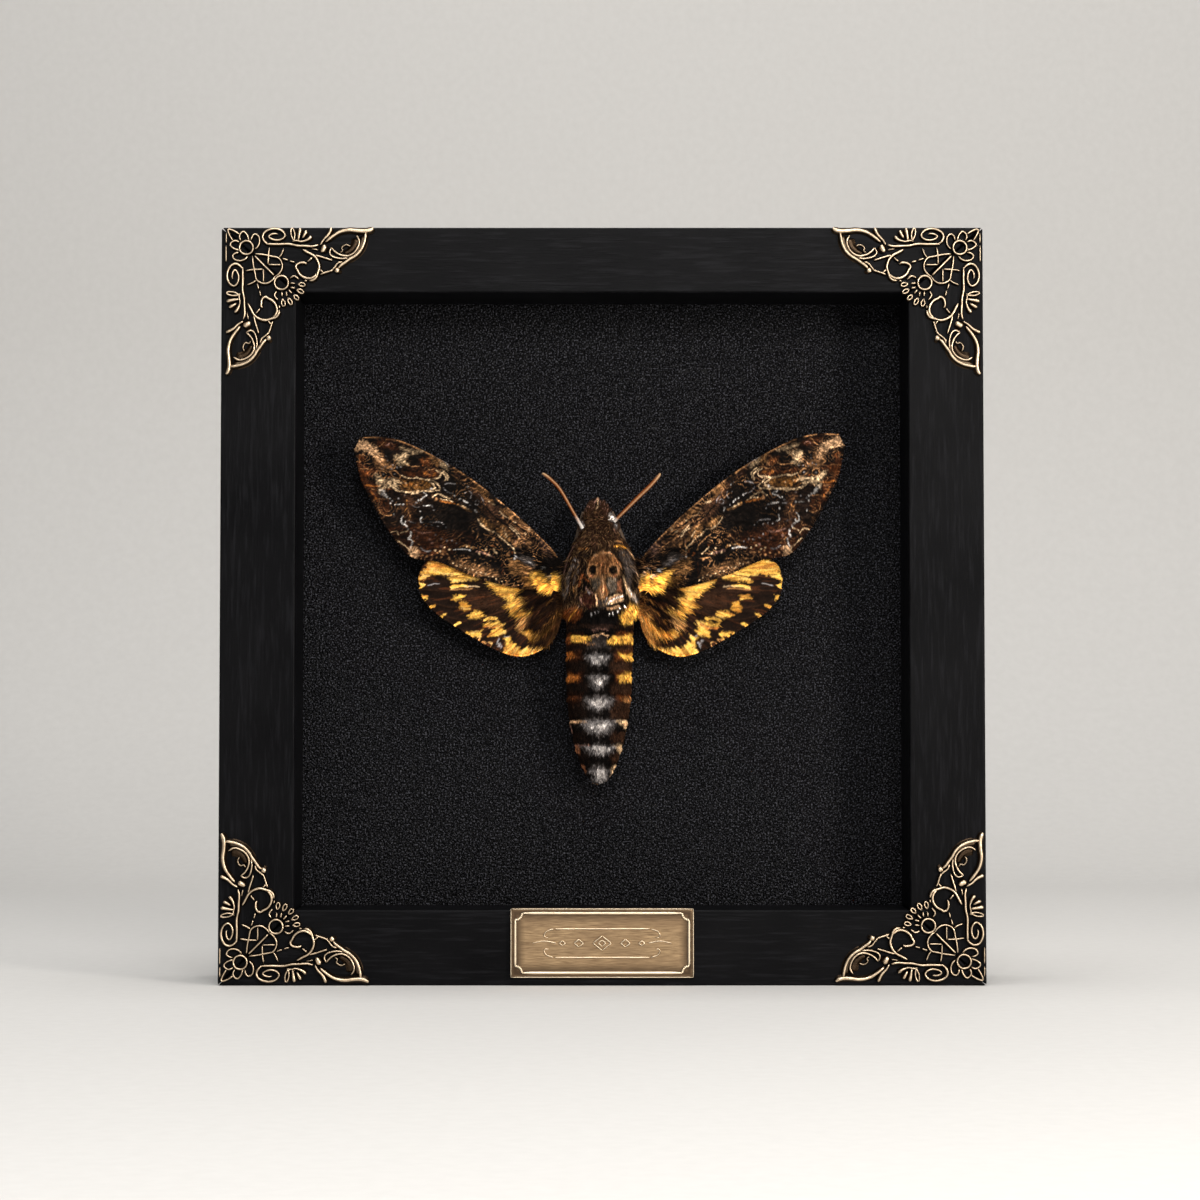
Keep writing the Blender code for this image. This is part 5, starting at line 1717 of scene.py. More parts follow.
FORE_MARKS = (
    *drawn("""
area UMBER 6*.8 358,440 402,442 450,468 440,500 400,560 372,520
area RUFOUS 5*.7 391,530 412,526 440,532 462,545 440,558 410,556
area RUFOUS 7*.35 412,524 468,522 476,540 430,548
area BISTRE 4 452,468 480,484 512,514 548,545 540,552 500,530 470,496
area SOOT 4 418,513 440,506 462,511 476,518 484,532 470,536 440,530 424,524
area SOOT 3*.8 446,474 462,480 474,494 484,514 474,510 460,498 448,490
area SAND 1.8 357,446 360,440 367,440 373,445 379,449 381,455 384,459 380,462 375,457 370,452 364,450 358,450
area TAN 2.2*.6 374,452 384,454 387,462 394,466 392,470 380,470 375,463
area RUFOUS 2*.9 378,439 392,440 400,447 390,450 380,447
line TAN 1.3 381,447 385,444 388,440
line PINK 1.4 388,446 392,443 394,446
line TAN 1.4 361,455 364,454.3 368,456
area RUST 1.5 360,456 366,457 366,461 360,461
area SOOT 2 367,457 372,456 375,463 369,466 363,464
area RUFOUS 2 359,462 366,465 378,470 376,478 380,488 384,500 376,502 360,474
line TAN 1.3 359,468.5 364,468 370,468.4
area RUST 2 361,470 370,470 370,475 364,479
area SOOT 2 366,477 378,476 377,482 370,481
line ORANGE 2.6 367,484 373,485 380,485
line TAN 1.3 372,488 377,488.4
line RUST 2.8 371,490 374,495 377,501
spots ORANGE 1.8 372,493 375,498
area SOOT 1.6 378,489 381,494 388,498 382,498 377,495
line TAN 1.5 380,472 383,471 387,473 388,477 384,479 381,476 380,472
line TAN 1.5 391,472 395,471 399,474 402,477 399,479 395,478 392,475 391,472
line CREAM 1.6 377,474 380,478 383,480
spots GREY 1.5 384,475 395,475
spots GREY 1.2 389,461 393,465 397,468 401,467 391,468.5 386,466 383,468 388,457
area CREAM 1.5 375,474 380,478 386,481 393,480 399,480 404,483 398,487 392,486.5 386,486 383,489 380,492 379,484
 376,479
spots SOOT 2.2 388.5,474.6 386,482.6 393,483.4 399.6,486.4 381.6,486
spots RUST 1.8 391,478.4 397,481
area WHITE 1.2 380,489 384,489.5 386.5,494 388.5,497.5 384,495 381,493
line RUFOUS 2.4 386,488 391,488
line CREAM 2.8 392,485 395,489 402,491.8 410,492 419,491
area BUFF 1.8 400,480.5 428,481 432,487 424,490.5 408,491 401,488
line SOOT 2.4 397,484.5 402,484.5 403,487.5 408,488.6
spots ORANGE 2.4 416.5,486 406,484 411,485
spots CREAM 1.2 416.5,486 406.5,483.5
spots SOOT 1.8 421.5,485.5 412,489 409,482
area RUFOUS 2 403,469 436,469 442,474 438,479.5 420,478 403,477
spots ORANGE 2.8 426.5,473.5 435,475
spots RUST 2.4 416,474.5 430,476
line SOOT 3 404,469.5 414,471.5 421,470
line CREAM 2 403,476 410,478.5 416,477.6 421,478.6 427,480 434,479.4 440,478 441,474 437.5,471
line CREAM 1.9 440,471.5 444,474 446.5,477.5 445,481
line CREAM 1.6 443,470.5 447.5,475 448,480
line CREAM 1.9 427,481 433.5,481 437,484 440,486.5 440.5,490 435.5,491
line CREAM 2.4 431,483 434.5,485.5 433.5,489 427,490.6
spots WHITE 2 431.5,489
line CREAM 1.8 412,493.4 420,491.8 428,491.4 434,491.4
line WHITE 1.8 423.5,492.5 427,495.5 423.5,498 420.5,500.5
area CREAM 1.3*.45 400,446 412,449 421,450.5 427,451 420,453.6 412,452.6 405,450
area CREAM 1.5*.65 396,455 403,453.4 412,454.4 407,457 404,461 408,464.5 403,466.5 398,463.5 396.5,459
line SOOT 1.6 398,461 402,464 404,467
line TAN 1.5 399,457 394.5,463 391,467
line TAN 1.2 400,460 396,465 394,469
area SOOT 1.4 385,449 396,449 395,456 391,460 386,457
area SOOT 1.4 406,458.5 412,456.5 420,456.4 426,459 421,463.4 410,462
line TAN 1.5 406,465 412,466 420,466.6
area RUST 2 421,460.5 430,457 431,466 424,466
area OCHRE 1.4 430.5,456 434,456 438,459.5 441,463.5 438,465.5 433,462.4
line WHITE 1.7 437.5,456.6 443,460 447.5,463.4 450.5,467.5
area CREAM 1.4*.55 440.5,461 446,464 449.5,467.5 448,471 445,468.6 441.5,465.5
line TAN 1.5 429,470 436,469.6 441,470
line TAN 1.2 425,451.5 432,454 438,457
line TAN 1.5 374,499.5 381,498 389,498
spots WHITE 1.4 391,498 391,503 403,505 394,514 421,511 418,500 410,505
spots GREY 1.4 393,501 413,506 416,502.5 399,499 407,499 405,495 432,507 434,511
line WHITE 1.6 396,505 400.5,505
line GREY 1.6 411,505.6 419,507
line WHITE 1.8 422.5,505.5 430,506
area RUFOUS 1.6 378,500 388,500 389.5,513 383,515.5 380,510
area UMBER 1.2 383,503 387,503 387,511 383,511
line TAN 1.3 380,508 381,513 386,515 391.5,514
area BISTRE 2 403,494 410,495 413.5,505 414,520 410,528 405,526 405,510
line TAN 1.4 409,511 411,516 410,521
line BUFF 1.4 406,500 407,507 405.5,512
line WHITE 2 404,516 401.5,519.5 401,522.5 403.5,524 405,521.5
line GREY 1.6 409,521.5 415.5,524
line WHITE 1.8 422.5,517.5 421,522.8 424,523.4
line GREY 1.7 430,522.5 436,522 441.5,523.4
spots GREY 1.2 427,526 433,526 437.5,527 443,525 446,527.5
line WHITE 1.8 405,525 407,527 408.5,529.5
line CREAM 1.5 392,532 397,531.6 400,536
line CREAM 1.5 401.5,533.6 408,530.8
area SOOT 1.3 402,536 408.5,533.6 409,538.6 404,540
line WHITE 2.3 411,532.5 411,536.5 409.3,538.5 413,541 413,545 411.5,549
line CREAM 1.8 398,540.5 404,545 409,550 411,556
area SAND 1.5 409.5,549.5 415,547.5 419,550 416.5,556.5 411,557
spots RUST 2 418.5,551.5
line TAN 1.5 413.5,540 420.5,545.5
line PINK 2.4*.7 414,531 424,534 432,533
spots PINK 2 418,538 430,540 441,546.5 433,543
spots GREY 1.3 436.5,535.5 441,539.5 452,541 457,543.4 447,541
line GREY 2.2 420.5,548 424.5,551 430.5,551.4
spots CREAM 1.5 436,550.4 440.5,551.5 449.5,550 444,548
line WHITE 1.7 454.5,550.2 462,549.6 470,550.6
spots TAN 1.5 422,555.5 426,557 431,556 436,557.5 441,557 447,555 448,559 437,553 443,554
line OCHRE 3 460.5,548 467,546.4 475,549.4
spots CREAM 1.4 466.5,547 471,548
line PINK 3.2 477,553 484,554.6 491.5,557.4
spots CREAM 1.5 479.5,555 485.5,551 489,556
line CREAM 2 493.5,550.5 498.4,555.4
spots RUST 2 493,548 507.5,556 512,553.5
area TAN 2.4*.55 450,563 462,562 498,572 502,579 480,577 456,569
"""),
    dotted(Tint.CREAM, 1.1, 13, (452, 564), (4.1, 1.42), 0.9, 2.3),
    dotted(Tint.TAN, 1.2, 12, (456, 560.5), (3.9, 1.1), 1.4, 3.1),
    dotted(Tint.TAN, 1.2, 9, (454, 557), (5.3, 0.5), 2.2, 1.9, 0.7),
    *drawn("""
line CREAM 1.9 432,497.5 438,495 444.5,496.4 449,499.5
spots TAN 2.5 436.5,500
line ORANGE 3 440,500.5 446,502.4 454,504.6
line CREAM 1.3 441,499.4 448,500.6 453,503
line OCHRE 3.2 458,505.5 465,509 471.5,512
line CREAM 1.5 460.5,505.4 468,509.4
line WHITE 2 463.5,501.4 467,503.6
spots WHITE 1.3 460,500 468,486.2 455,497
line WHITE 3.2 475,510.4 475.6,512.6
line GREY 1.8 446,485.4 451,483.4 455.5,484
line GREY 1.4 445,489 449,493 456,496.5
line TAN 1.3 453,475.4 459.5,478.6
area RUFOUS 1.8 454,469.4 464,475 471,481 463,480.6 455,476
line PINK 1.8 457,474 464,477.5
line GREY 1.3 470,491.5 472.4,495 471,499.4
line GREY 1.3 477.6,493.6 482,499.5 484,505
line GREY 1.3 475.5,502 478.5,500.5 480.5,503.4 478,505.5 475.8,504
spots GREY 1.1 465,484 470,506 466,493
area OCHRE 1.9 474.6,483.6 481,485 488,491 497,498.6 494.6,504 488,500.6 480,494.6 474.6,489
spots SOOT 1.5 479,490 484,492 486.5,497.5 491,499.5 477,486
line CREAM 2.4 489.5,502.6 495.5,505.2
line TAN 1.2 478,481 490,491.6 500,501 508,508.6
area OCHRE 1.7 500,509 508,510.4 515,517 512,520.6 505,517
line SOOT 1.4 503,512 509,518
line CREAM 1.5 500.6,512 504,516.5 509,519
area TAN 1.8 511.6,520.6 520,520.4 528,525.4 535,531 529,537.6 521,535.6 516,530.4
spots RUFOUS 1.7 517,525 522.5,528 518.5,531
spots CREAM 2 524.5,534 529,530.5 514,523
area OCHRE 2 480.6,519 489,520.6 494,526 490.6,531.5 484.6,528.6
area OCHRE 2.2 498,525 506,527 512,536 510,543 503,540 498,533
line CREAM 2.1*.65 478,520.6 481,525 487,530 494,533 499.4,537 504.6,541 510,545.6 514,549 514.6,554
line TAN 1.5 484,534 493,538.6 500,545 503,552
line TAN 1.4 496.6,526 499.4,522 503.4,524
line CREAM 2.2 503,529.6 506,534 508.6,538.4
line CREAM 1.6 511,526.4 516,531.6 521,536.6
line TAN 1.6 521,536.6 530,543 538,549 545,554
line TAN 1.3 506,522 512,528 515,534
area TAN 2 512.6,541 522,539.6 531.6,545 530.6,550 522,549 515,547
spots PINK 2 516,543 524,543.6
area SOOT 1.6 516,549.6 524,549 531,552 536,557 530,558 520,556
line GREY 2.3 513.6,555.6 519,559 525,562.6
area SLATE 1.8 522.6,556 531,558.6 539,566 536,569.6 528,565 522,560.6
line GREY 2 527.6,561.4 535.6,566.6
line SOOT 3 537,570 543,572 548,571
area PINK 1.8 535.6,541 541,539.6 549,545.6 555,552 552,559 545,555 540,549
area SOOT 1.6 534,552 541,556 549,562 548,568 541,566 536,559
spots WHITE 1.6 545.6,570.4 515,559.6
spots PINK 1.6 544.6,549
area OCHRE 2 508,559.6 516,560.6 526,566 535,571 536,578 524,577 512,575 509,568
area BUFF 2 521,578 534,578 536,590 526,588
area SOOT 2 498,560 507,561 509.6,570 510,579 500,578
line RUFOUS 1.5 502,564 503,576
area SOOT 2 470,556.4 484,558 498,559 497,562 476,560.6
area YELLOW 2 530,574.6 540,572 549,577 556,580 557,591 548,594 540,593 534,586
line CREAM 2 550,574 556,578
spots RUFOUS 4.6 559,584
"""),
)

COSTA_BARS = drawn("""
area SOOT 2 457,463 473,471 479,487 470,485 461,476
area SOOT 2 490,487 505,498 511,511 499,508 486,497
area SOOT 1.8 522,511 532,519 531,529 518,520
area SOOT 2.5*.7 450,466 462,471 470,480 468,488 458,483 449,474
area SOOT 3*.6 534,526 556,550 560,566 548,562 536,547 528,536
area SOOT 2.4*.6 498,504 509,512 508,526 500,522 492,510
area SOOT 2.4*.5 512,536 524,541 534,551 524,552 513,545
line CREAM 1.6 524,518 530,523 533,529
line CREAM 1.3 508,527 514,532 519,538
line SOOT 2.4 508,520 522,530 540,545
line SOOT 1.8 486,508 498,520 510,528
""")

HIND_MARKS = drawn("""
area BISTRE 5*.7 464,590 500,596 506,612 480,612 462,600
area YELLOW 1.6 414,586 419,577 427,566 438,560 452,560 464,566 477,572 479,578 476,581 466,582 452,584.4
 448,582.6 452,580 449,577 440,576 428,577.6 421,582
line GOLD 2.6 424,572 436,566 450,566 466,571
line RUFOUS 1.4 452,578.4 462,577 470,575.4
line RUFOUS 1.3*.7 449,575.4 460,573.4
area YELLOW 1 416,584.6 418.6,585 422.5,587.4 420,592
area YELLOW .9 421.6,597.6 427.6,598 424.4,602.4
line YELLOW 2.6 430,609.4 436,607.6
area YELLOW .9 438,617.6 444.6,616 441.6,620.6
line YELLOW 2.8 452.4,628.2 458,625.8
area YELLOW 1 466.4,634.6 479.4,633.6 479.6,640.6 474,638.4
line OCHRE 1.8 478.6,640.8 484,644 490.6,647.6
line YELLOW 3 449,590.6 456,588.6 466,588
line CREAM 1.5*.8 462,588.6 470,588 479,588.6
line OCHRE 1.6*.7 450,592.4 460,591.6 472,590.4
area YELLOW 1.2 451,600 458.6,596.4 463.6,597.6 457.6,602.4
area GOLD 1.4 460,604.6 467,605.6 469,611.6 464,613.6 458,611
area YELLOW 1.3 468.6,617.6 473,613.4 482.4,613.6 484.6,617 480,620 470.6,620.4
line YELLOW 2.8 483,622.4 489,620.4 495,621
area YELLOW 1.2 481.6,626 491,624.4 502,623.6 503.6,627 494,628.4 484,628
line ORANGE 2.4 484,630 492,630 499,627.4
area YELLOW 1.3 490.6,634 497,629 503.6,629 504.6,635 496,639 491.6,637.4
spots GREY 1.7 498.6,642.6 500,646 499.4,649.6
line GREY 1.6 505,637 508,639.4
area YELLOW 1.5 504,639.6 508,639 511,645 517,649.6 525,651 536,650.4 546,646 554,637 556,645 546,656 525,662
 508,661 500,654 507,651
line GOLD 2.2 507,655 520,657 536,654
area YELLOW 1.8 485,579.6 493,579 503,581 513,584 524,588 523,594 513,596.4 505,597.4 498,596.6 496,592 491,588
 487,586
area YELLOW 1.8 500.6,597 512,595.6 524,597.6 526,603 523,608 519,611.6 511,611.6 505.6,609 508.6,604
area YELLOW 1.4 510,612 520,611 535,609 536,612 527,615.4 515.6,617.4
area OCHRE 1.4 518,620.4 528,616.4 534,615.4 527,620 521,622.6
area OCHRE 1.4 518,624.6 523,621 531.6,620 528,625.4 522,630.4
area GOLD 2 521,633 530,631 541,629 552,620 560,608 558,622 549,633 541,639 528,640 523,637
area BUFF 3*.7 553,606 562,600 562,630 549,646 545,641 553,626
area SOOT 2.6 522,592 562,588 562,602 548,610 536,618 531,617 538,608 526,604
line SOOT 2.6 548,606 540,616 532,625 524,632
line BUFF 1.4*.6 560,594 550,601 541,606
line BUFF 1.3*.6 556,602 546,612 538,622
line GREY 1.3*.7 426,588 432,586.6 437,585.4
line BISTRE 1.8 470,597.6 480,599 491,596
line BISTRE 1.6 474,605 482,606.4 492,603
""")

HIND_SHADE = drawn("""
area ORANGE 3*.6 414,588 419,576 428,565 440,559 456,560 446,570 430,574 421,584
area ORANGE 3*.5 500,656 507,650 520,654 540,650 552,640 556,650 540,662 510,664
area UMBER 4*.9 536,602 566,592 566,640 548,650 536,640 530,622
line BUFF 1.3*.5 560,606 550,620 536,632
""")

# How much of its strength each colour of the forewing keeps.
FORE_WEIGHTS = {Tint.ORANGE: 0.55, Tint.OCHRE: 0.4, Tint.TAN: 0.6, Tint.BUFF: 0.4, Tint.RUST: 0.4, Tint.GOLD: 0.5,
                Tint.RUFOUS: 0.4, Tint.PINK: 0.45, Tint.GREY: 0.5, Tint.WHITE: 0.62, Tint.UMBER: 0.5,
                Tint.CREAM: 0.97}

WING_ROOT = (590, 600)
HIND_ROOT = (578, 584)

UNDER_MARKS = drawn("""
area UMBER 3*.6 414,578 452,592 505,634 505,652 440,634
area BISTRE 3*.5 476,584 516,622 545,634 512,652 484,622
line BISTRE 6*.6 450,470 436,510 420,552
line BISTRE 4*.5 400,450 392,490 398,535
""")


@dataclass(frozen=True)
class HairPatch:
    """A box of the wing where hair grows, by its corners, with its count and length."""

    low: tuple[float, float]
    high: tuple[float, float]
    count: int
    length: float


@dataclass(frozen=True)
class Plan:
    """What sets one pair of wings apart from the other."""

    name: str
    leading: Points
    trailing: Points
    veins: Sequence[Points]
    vein_tint: Tint
    slot: str
    glint: float
    set_back: float
    seed: int
    patches: tuple[HairPatch, ...]
    root: tuple[float, float]


class Cut(Enum):
    """Which pair of wings a wing belongs to."""

    FORE = Plan("forewing", FORE_LEADING, FORE_TRAILING, FORE_VEINS, Tint.SOOT, "forewing_scales", 1.75, 0.0, 71,
                (HairPatch((11.0, 91.6), (13.5, 97.5), 900, 2.2), HairPatch((10.0, 97.0), (19.0, 102.0), 700, 1.3),
                 HairPatch((12.0, 93.0), (22.0, 99.0), 500, 1.1)), (92.5, 99.4))
    HIND = Plan("hindwing", HIND_LEADING, HIND_TRAILING, HIND_VEINS, Tint.BISTRE, "hindwing_scales", 1.35, 1.0, 81,
                (HairPatch((9.6, 84.0), (19.0, 93.0), 1500, 2.6), HairPatch((11.0, 79.5), (16.0, 88.0), 900, 2.0),
                 HairPatch((18.0, 84.0), (28.0, 94.0), 500, 1.2)), (86.8, 93.4))


@dataclass
class Wing:
    """One wing: a thin shell with raised veins, its marking, its fringe and the hair at its root."""

    cut: Cut
    side: Side
    spacing: float = 0.17
    front_lift: float = 0.16
    back_drop: float = 0.12
    vein_height: float = 0.16
    vein_width: float = 0.38
    turn: float = 0.4
    low_turn: float = -0.65
    base_depth: float = -4.7
    first_out: float = 9.7
    reach: float = 48.0
    fold_height: float = 97.0
    fold_slope: float = 0.55
    droop: float = 1.2
    droop_width: float = 18.0
    tip_forward: float = 1.6
    rim_width: float = 0.35
    vein_shade_width: float = 0.9
    vein_shade: float = 0.55
    under_spacing: float = 3.0
    front_map: tuple[float, float] = (0.01, 0.72)
    under_map: tuple[float, float] = (0.75, 0.24)
    fringe_count: int = 2600
    fringe_length: float = 0.42
    fringe_depth: float = 0.15
    root_count: int = 1500
    hair_middle: tuple[float, float] = (6.0, 98.0)

    @property
    def plan(self) -> Plan:
        """What this pair of wings has of its own."""
        return self.cut.value

    @property
    def name(self) -> str:
        """The node's name."""
        return f"{self.plan.name}_{self.side.word}"

    def depth(self, out: Array, height: Array) -> Array:
        """Returns the wing's depth in the case at places from the body."""
        share = np.maximum((out - self.first_out) / self.reach, 0)
        fold = (height - self.fold_height) - (out - self.first_out) * self.fold_slope
        droop = self.droop * (1 - np.exp(-((fold / self.droop_width) ** 2)))
        return self.base_depth - self.tip_forward * share + droop + self.plan.set_back

    def place(self, out: Array, height: Array, forward: Array) -> Array:
        """Returns the case's coordinates of places on the wing.

        Args:
            out: How far each place is from the moth's middle.
            height: Its height.
            forward: How far it stands before the wing's middle.

        Returns:
            One row of three coordinates for each place.
        """
        low_side = self.cut is Cut.FORE and self.side is Side.LEFT
        sign = self.side.value
        angle = math.radians(self.low_turn if low_side else self.turn) * sign
        pivot_out, pivot_height = self.plan.leading[0]
        dx, dz = sign * out - sign * pivot_out, height - pivot_height
        turned_x = sign * pivot_out + dx * math.cos(angle) - dz * math.sin(angle)
        turned_z = pivot_height + dx * math.sin(angle) + dz * math.cos(angle)
        return np.stack([AXIS_AT_WINGS + turned_x, self.depth(out, height) - forward, turned_z], axis=1)

    def chart(self, out: Array, height: Array) -> Array:
        """Returns the chart's places, which show the left wing."""
        return to_chart(AXIS_AT_WINGS - out, height)

    def colours(self, chart: Array, under: bool) -> Array:
        """Returns the wing's marking at chart places.

        Args:
            chart: The places.
            under: True on the side that faces the board.

        Returns:
            One linear colour for each place.
        """
        seed = 101 + self.side.value * 3
        if under:
            painter = Painter(chart, Tint.BUFF, seed, 2.0)
            painter.lay(UNDER_MARKS)
            return painter.colour
        fore = self.cut is Cut.FORE
        painter = self.fore_marking(chart, seed) if fore else self.hind_marking(chart, seed)
        near_vein = np.exp(-((self.vein_distance(chart) / self.vein_shade_width) ** 2))
        painter.mix(painter.all, self.plan.vein_tint, near_vein * self.vein_shade)
        shade = 0.26 * noise(chart, 1.3, seed + 32) + 0.16 * noise(chart, 8.0, seed + 33) + 0.4 * painter.brush
        if not fore:
            shade = np.clip(shade + 0.06, -0.5, 0.3)
        return painter.colour * np.exp(np.clip(shade, -1.2, 0.75))[:, None]

    def fore_marking(self, chart: Array, seed: int) -> Painter:
        """Returns a forewing's marks, with the fine threads, the pale front edge and the grain over them."""
        painter = Painter(chart, Tint.SOOT, seed, 0.7, WING_ROOT, 1.2, 0.75)
        painter.gaps = painter.gaps - held((chart[:, 0] - 462) / 40) * 0.5
        painter.lay(FORE_MARKS, 0.7, FORE_WEIGHTS)
        painter.lay(COSTA_BARS)
        warped = chart + 3.0 * np.stack([noise(chart, 6.0, seed + 44), noise(chart, 6.0, seed + 47)], axis=1)
        wave = np.cos(5.5 * noise(warped, 10.0, seed + 40, 1) + warped @ np.array([0.9, 1.6]) * 0.9)
        thread = np.clip(wave - 0.75, 0, 0.25) * 4 * held(0.15 + noise(chart, 11.0, seed + 41))
        open_field = held(np.linalg.norm((chart - (460, 516)) / (36, 22), axis=1) - 0.4)
        basal = held((chart[:, 0] - 450) / 30)
        painter.mix(painter.all, Tint.TAN, thread * (0.25 + 0.4 * basal) * open_field)
        edge = self.chart(*smooth_curve(self.plan.leading, 60).T) + (0, 0.9)
        rim = np.exp(-((Painter.distance(chart, edge) / 0.8) ** 2))
        painter.mix(painter.all, Tint.TAN, rim * np.clip(0.5 + noise(chart, 9.0, seed + 48), 0, 0.85))
        grain = np.clip(noise(chart, 1.9, seed + 42, 3), -1.2, 0.9)
        patch = np.clip(noise(chart, 16.0, seed + 45), -0.8, 0.5)
        root = held((chart[:, 0] - 526) / 8) * held((chart[:, 1] - 570) / 6)
        painter.colour *= np.exp((0.5 + 0.2 * basal) * wave * (1 - root) + 0.75 * grain
                                 + (0.5 + 0.5 * basal) * patch - 0.2 + 0.45 * root)[:, None]
        return painter

    def hind_marking(self, chart: Array, seed: int) -> Painter:
        """Returns a hindwing's marks, with streaks that run out from its root over them."""
        painter = Painter(chart, Tint.UMBER, seed, 0.7, HIND_ROOT, 3.0, 0.25)
        painter.lay(HIND_MARKS)
        if self.side is Side.LEFT:
            painter.lay(HIND_SHADE)
        lit = held((painter.colour[:, 0] - 0.2) * 5) * (painter.colour[:, 2] < painter.colour[:, 0] * 0.35)
        streak = 0.6 * painter.brush + 0.7 * painter.strand
        painter.mix(painter.all, Tint.ORANGE, lit * np.clip(-0.1 - streak, 0, 0.75))
        painter.mix(painter.all, Tint.LEMON, lit * np.clip(streak - 0.2, 0, 0.4))
        painter.mix(painter.all, Tint.RUFOUS, (1 - lit) * np.clip(streak - 0.35, 0, 0.4))
        painter.colour *= (1 + 0.12 * lit)[:, None]
        return painter

    def vein_distance(self, chart: Array) -> Array:
        """Returns how far each chart place is from the nearest vein."""
        return np.min([Painter.distance(chart, smooth_curve(vein, 14)) for vein in self.plan.veins], axis=0)

    def shell(self) -> None:
        """Builds the wing's two faces as an upper and a lower sheet, which are not joined along their rims."""
        leading, trailing = self.plan.leading, self.plan.trailing
        long = 0.5 * sum(np.linalg.norm(np.diff(np.array(edge), axis=0), axis=1).sum()
                         for edge in (leading, trailing))
        wide = 0.75 * np.max(np.linalg.norm(smooth_curve(leading, 40) - smooth_curve(trailing, 40), axis=1))
        soup, colours, flats = Soup(), [], []
        for under, spacing, (start, span) in ((False, self.spacing, self.front_map),
                                              (True, self.spacing * self.under_spacing, self.under_map)):
            rows, columns = int(long / spacing), int(wide / spacing)
            fore, aft = smooth_curve(leading, rows), smooth_curve(trailing, rows)
            share = np.linspace(0, 1, columns)[None, :, None]
            flat = (fore[:, None] * (1 - share) + aft[:, None] * share).reshape(-1, 2)
            chart = self.chart(flat[:, 0], flat[:, 1])
            down, over = np.divmod(np.arange(rows * columns), columns)
            rim = np.minimum.reduce([down, rows - 1 - down, over, columns - 1 - over]) * spacing
            full = 1 - np.exp(-rim / self.rim_width)
            relief = self.vein_height * np.exp(-((self.vein_distance(chart) * CHART_MM / self.vein_width) ** 2))
            relief = relief + 0.07 * noise(chart, 14.0, 61) + 0.03 * noise(chart, 4.0, 62)
            forward = -self.back_drop * full if under else (self.front_lift + relief) * full
            quads = grid_faces(rows, columns, flip=True)
            if under != (self.side is Side.RIGHT):
                quads = quads[:, ::-1]
            soup.add(self.place(flat[:, 0], flat[:, 1], forward), quads)
            colours.append(self.colours(chart, under))
            low, high = flat.min(0), flat.max(0)
            spot = (flat - low) / (high - low)
            flats.append(np.column_stack([spot[:, 0] * 0.98 + 0.01, spot[:, 1] * span + start]))
        mesh = soup.mesh("scaled_" + self.name)
        paint(mesh, np.vstack(colours))
        unwrap(mesh, np.vstack(flats))
        finish = Scales("scales_" + self.name, glint=self.plan.glint).material()
        piece(mesh, finish, (self.name,))

    def hair_roots(self, chance: np.random.Generator) -> tuple[Array, Array, Array, Array]:
        """Scatters the fringe along the wing's edge and the hair at its root.

        Args:
            chance: The wing's random draws.

        Returns:
            Where each tuft grows, the way it lies, its length, and True where it belongs to the fringe.
        """
        leading, trailing = self.plan.leading, self.plan.trailing
        edge = smooth_curve(trailing, self.fringe_count)
        way = unit(np.gradient(edge, axis=0))
        outward = np.column_stack([way[:, 1], -way[:, 0]])
        edge, outward = edge + chance.normal(0, 0.04, edge.shape), unit(outward + chance.normal(0, 0.18, edge.shape))
        length = self.fringe_length * chance.uniform(0.6, 1.3, len(edge))
        roots, ways, sizes = [edge - outward * self.fringe_depth], [outward], [length]
        for patch in self.plan.patches:
            at = chance.uniform(patch.low, patch.high, (patch.count, 2))
            roots.append(at)
            ways.append(unit(unit(at - self.hair_middle) + chance.normal(0, 0.16, at.shape)))
            sizes.append(patch.length * chance.uniform(0.6, 1.3, patch.count))
        count = self.root_count
        at = np.column_stack([chance.uniform(9.75, 12.4, count), chance.uniform(*self.plan.root, count)])
        roots.append(at)
        inward = np.column_stack([-np.ones(count), (at[:, 1] - 93.0) * 0.04])
        ways.append(unit(inward + chance.normal(0, 0.3, at.shape)))
        sizes.append(chance.uniform(1.2, 2.6, count))
        at, lie, size = np.vstack(roots), np.vstack(ways), np.concatenate(sizes)
        inside = Painter.inside(at, np.vstack([smooth_curve(leading, 60), smooth_curve(trailing, 60)[::-1]]))
        fringe = np.arange(len(at)) < len(edge)
        keep = inside | fringe
        return at[keep], lie[keep], size[keep], fringe[keep]

    def hair(self) -> None:
        """Builds the fringe and the hair."""
        chance = np.random.default_rng(self.plan.seed + self.side.value)
        at, lie, size, fringe = self.hair_roots(chance)
        start = self.place(at[:, 0], at[:, 1], np.full(len(at), self.front_lift + 0.02))
        ahead = self.place(at[:, 0] + lie[:, 0] * 0.2, at[:, 1] + lie[:, 1] * 0.2, np.full(len(at), self.front_lift))
        facing = np.tile(FRONTWARD, (len(at), 1))
        rise = np.where(fringe, 0.02, 0.22) * chance.uniform(0.3, 1.7, len(at))
        width = np.where(fringe, 0.13, 0.12) * chance.uniform(0.7, 1.3, len(at))
        places, faces = grow_tufts(start, facing, unit(ahead - start), size, width, rise)
        chart = self.chart(at[:, 0], at[:, 1])
        colour = self.colours(chart, False) * np.exp(chance.normal(0, 0.35, len(at)))[:, None]
        soup = Soup()
        soup.add(places, faces)
        name = "fringe_" + self.name
        mesh = soup.mesh(name)
        paint(mesh, shaded(colour[:, None, :], WING_SHADE))
        low, high = at.min(0), at.max(0)
        unwrap_tufts(mesh, (at - low) / (high - low))
        piece(mesh, Hair("hair_" + name).material())

    def build(self) -> None:
        """Builds the shell and its hair."""
        self.shell()
        self.hair()


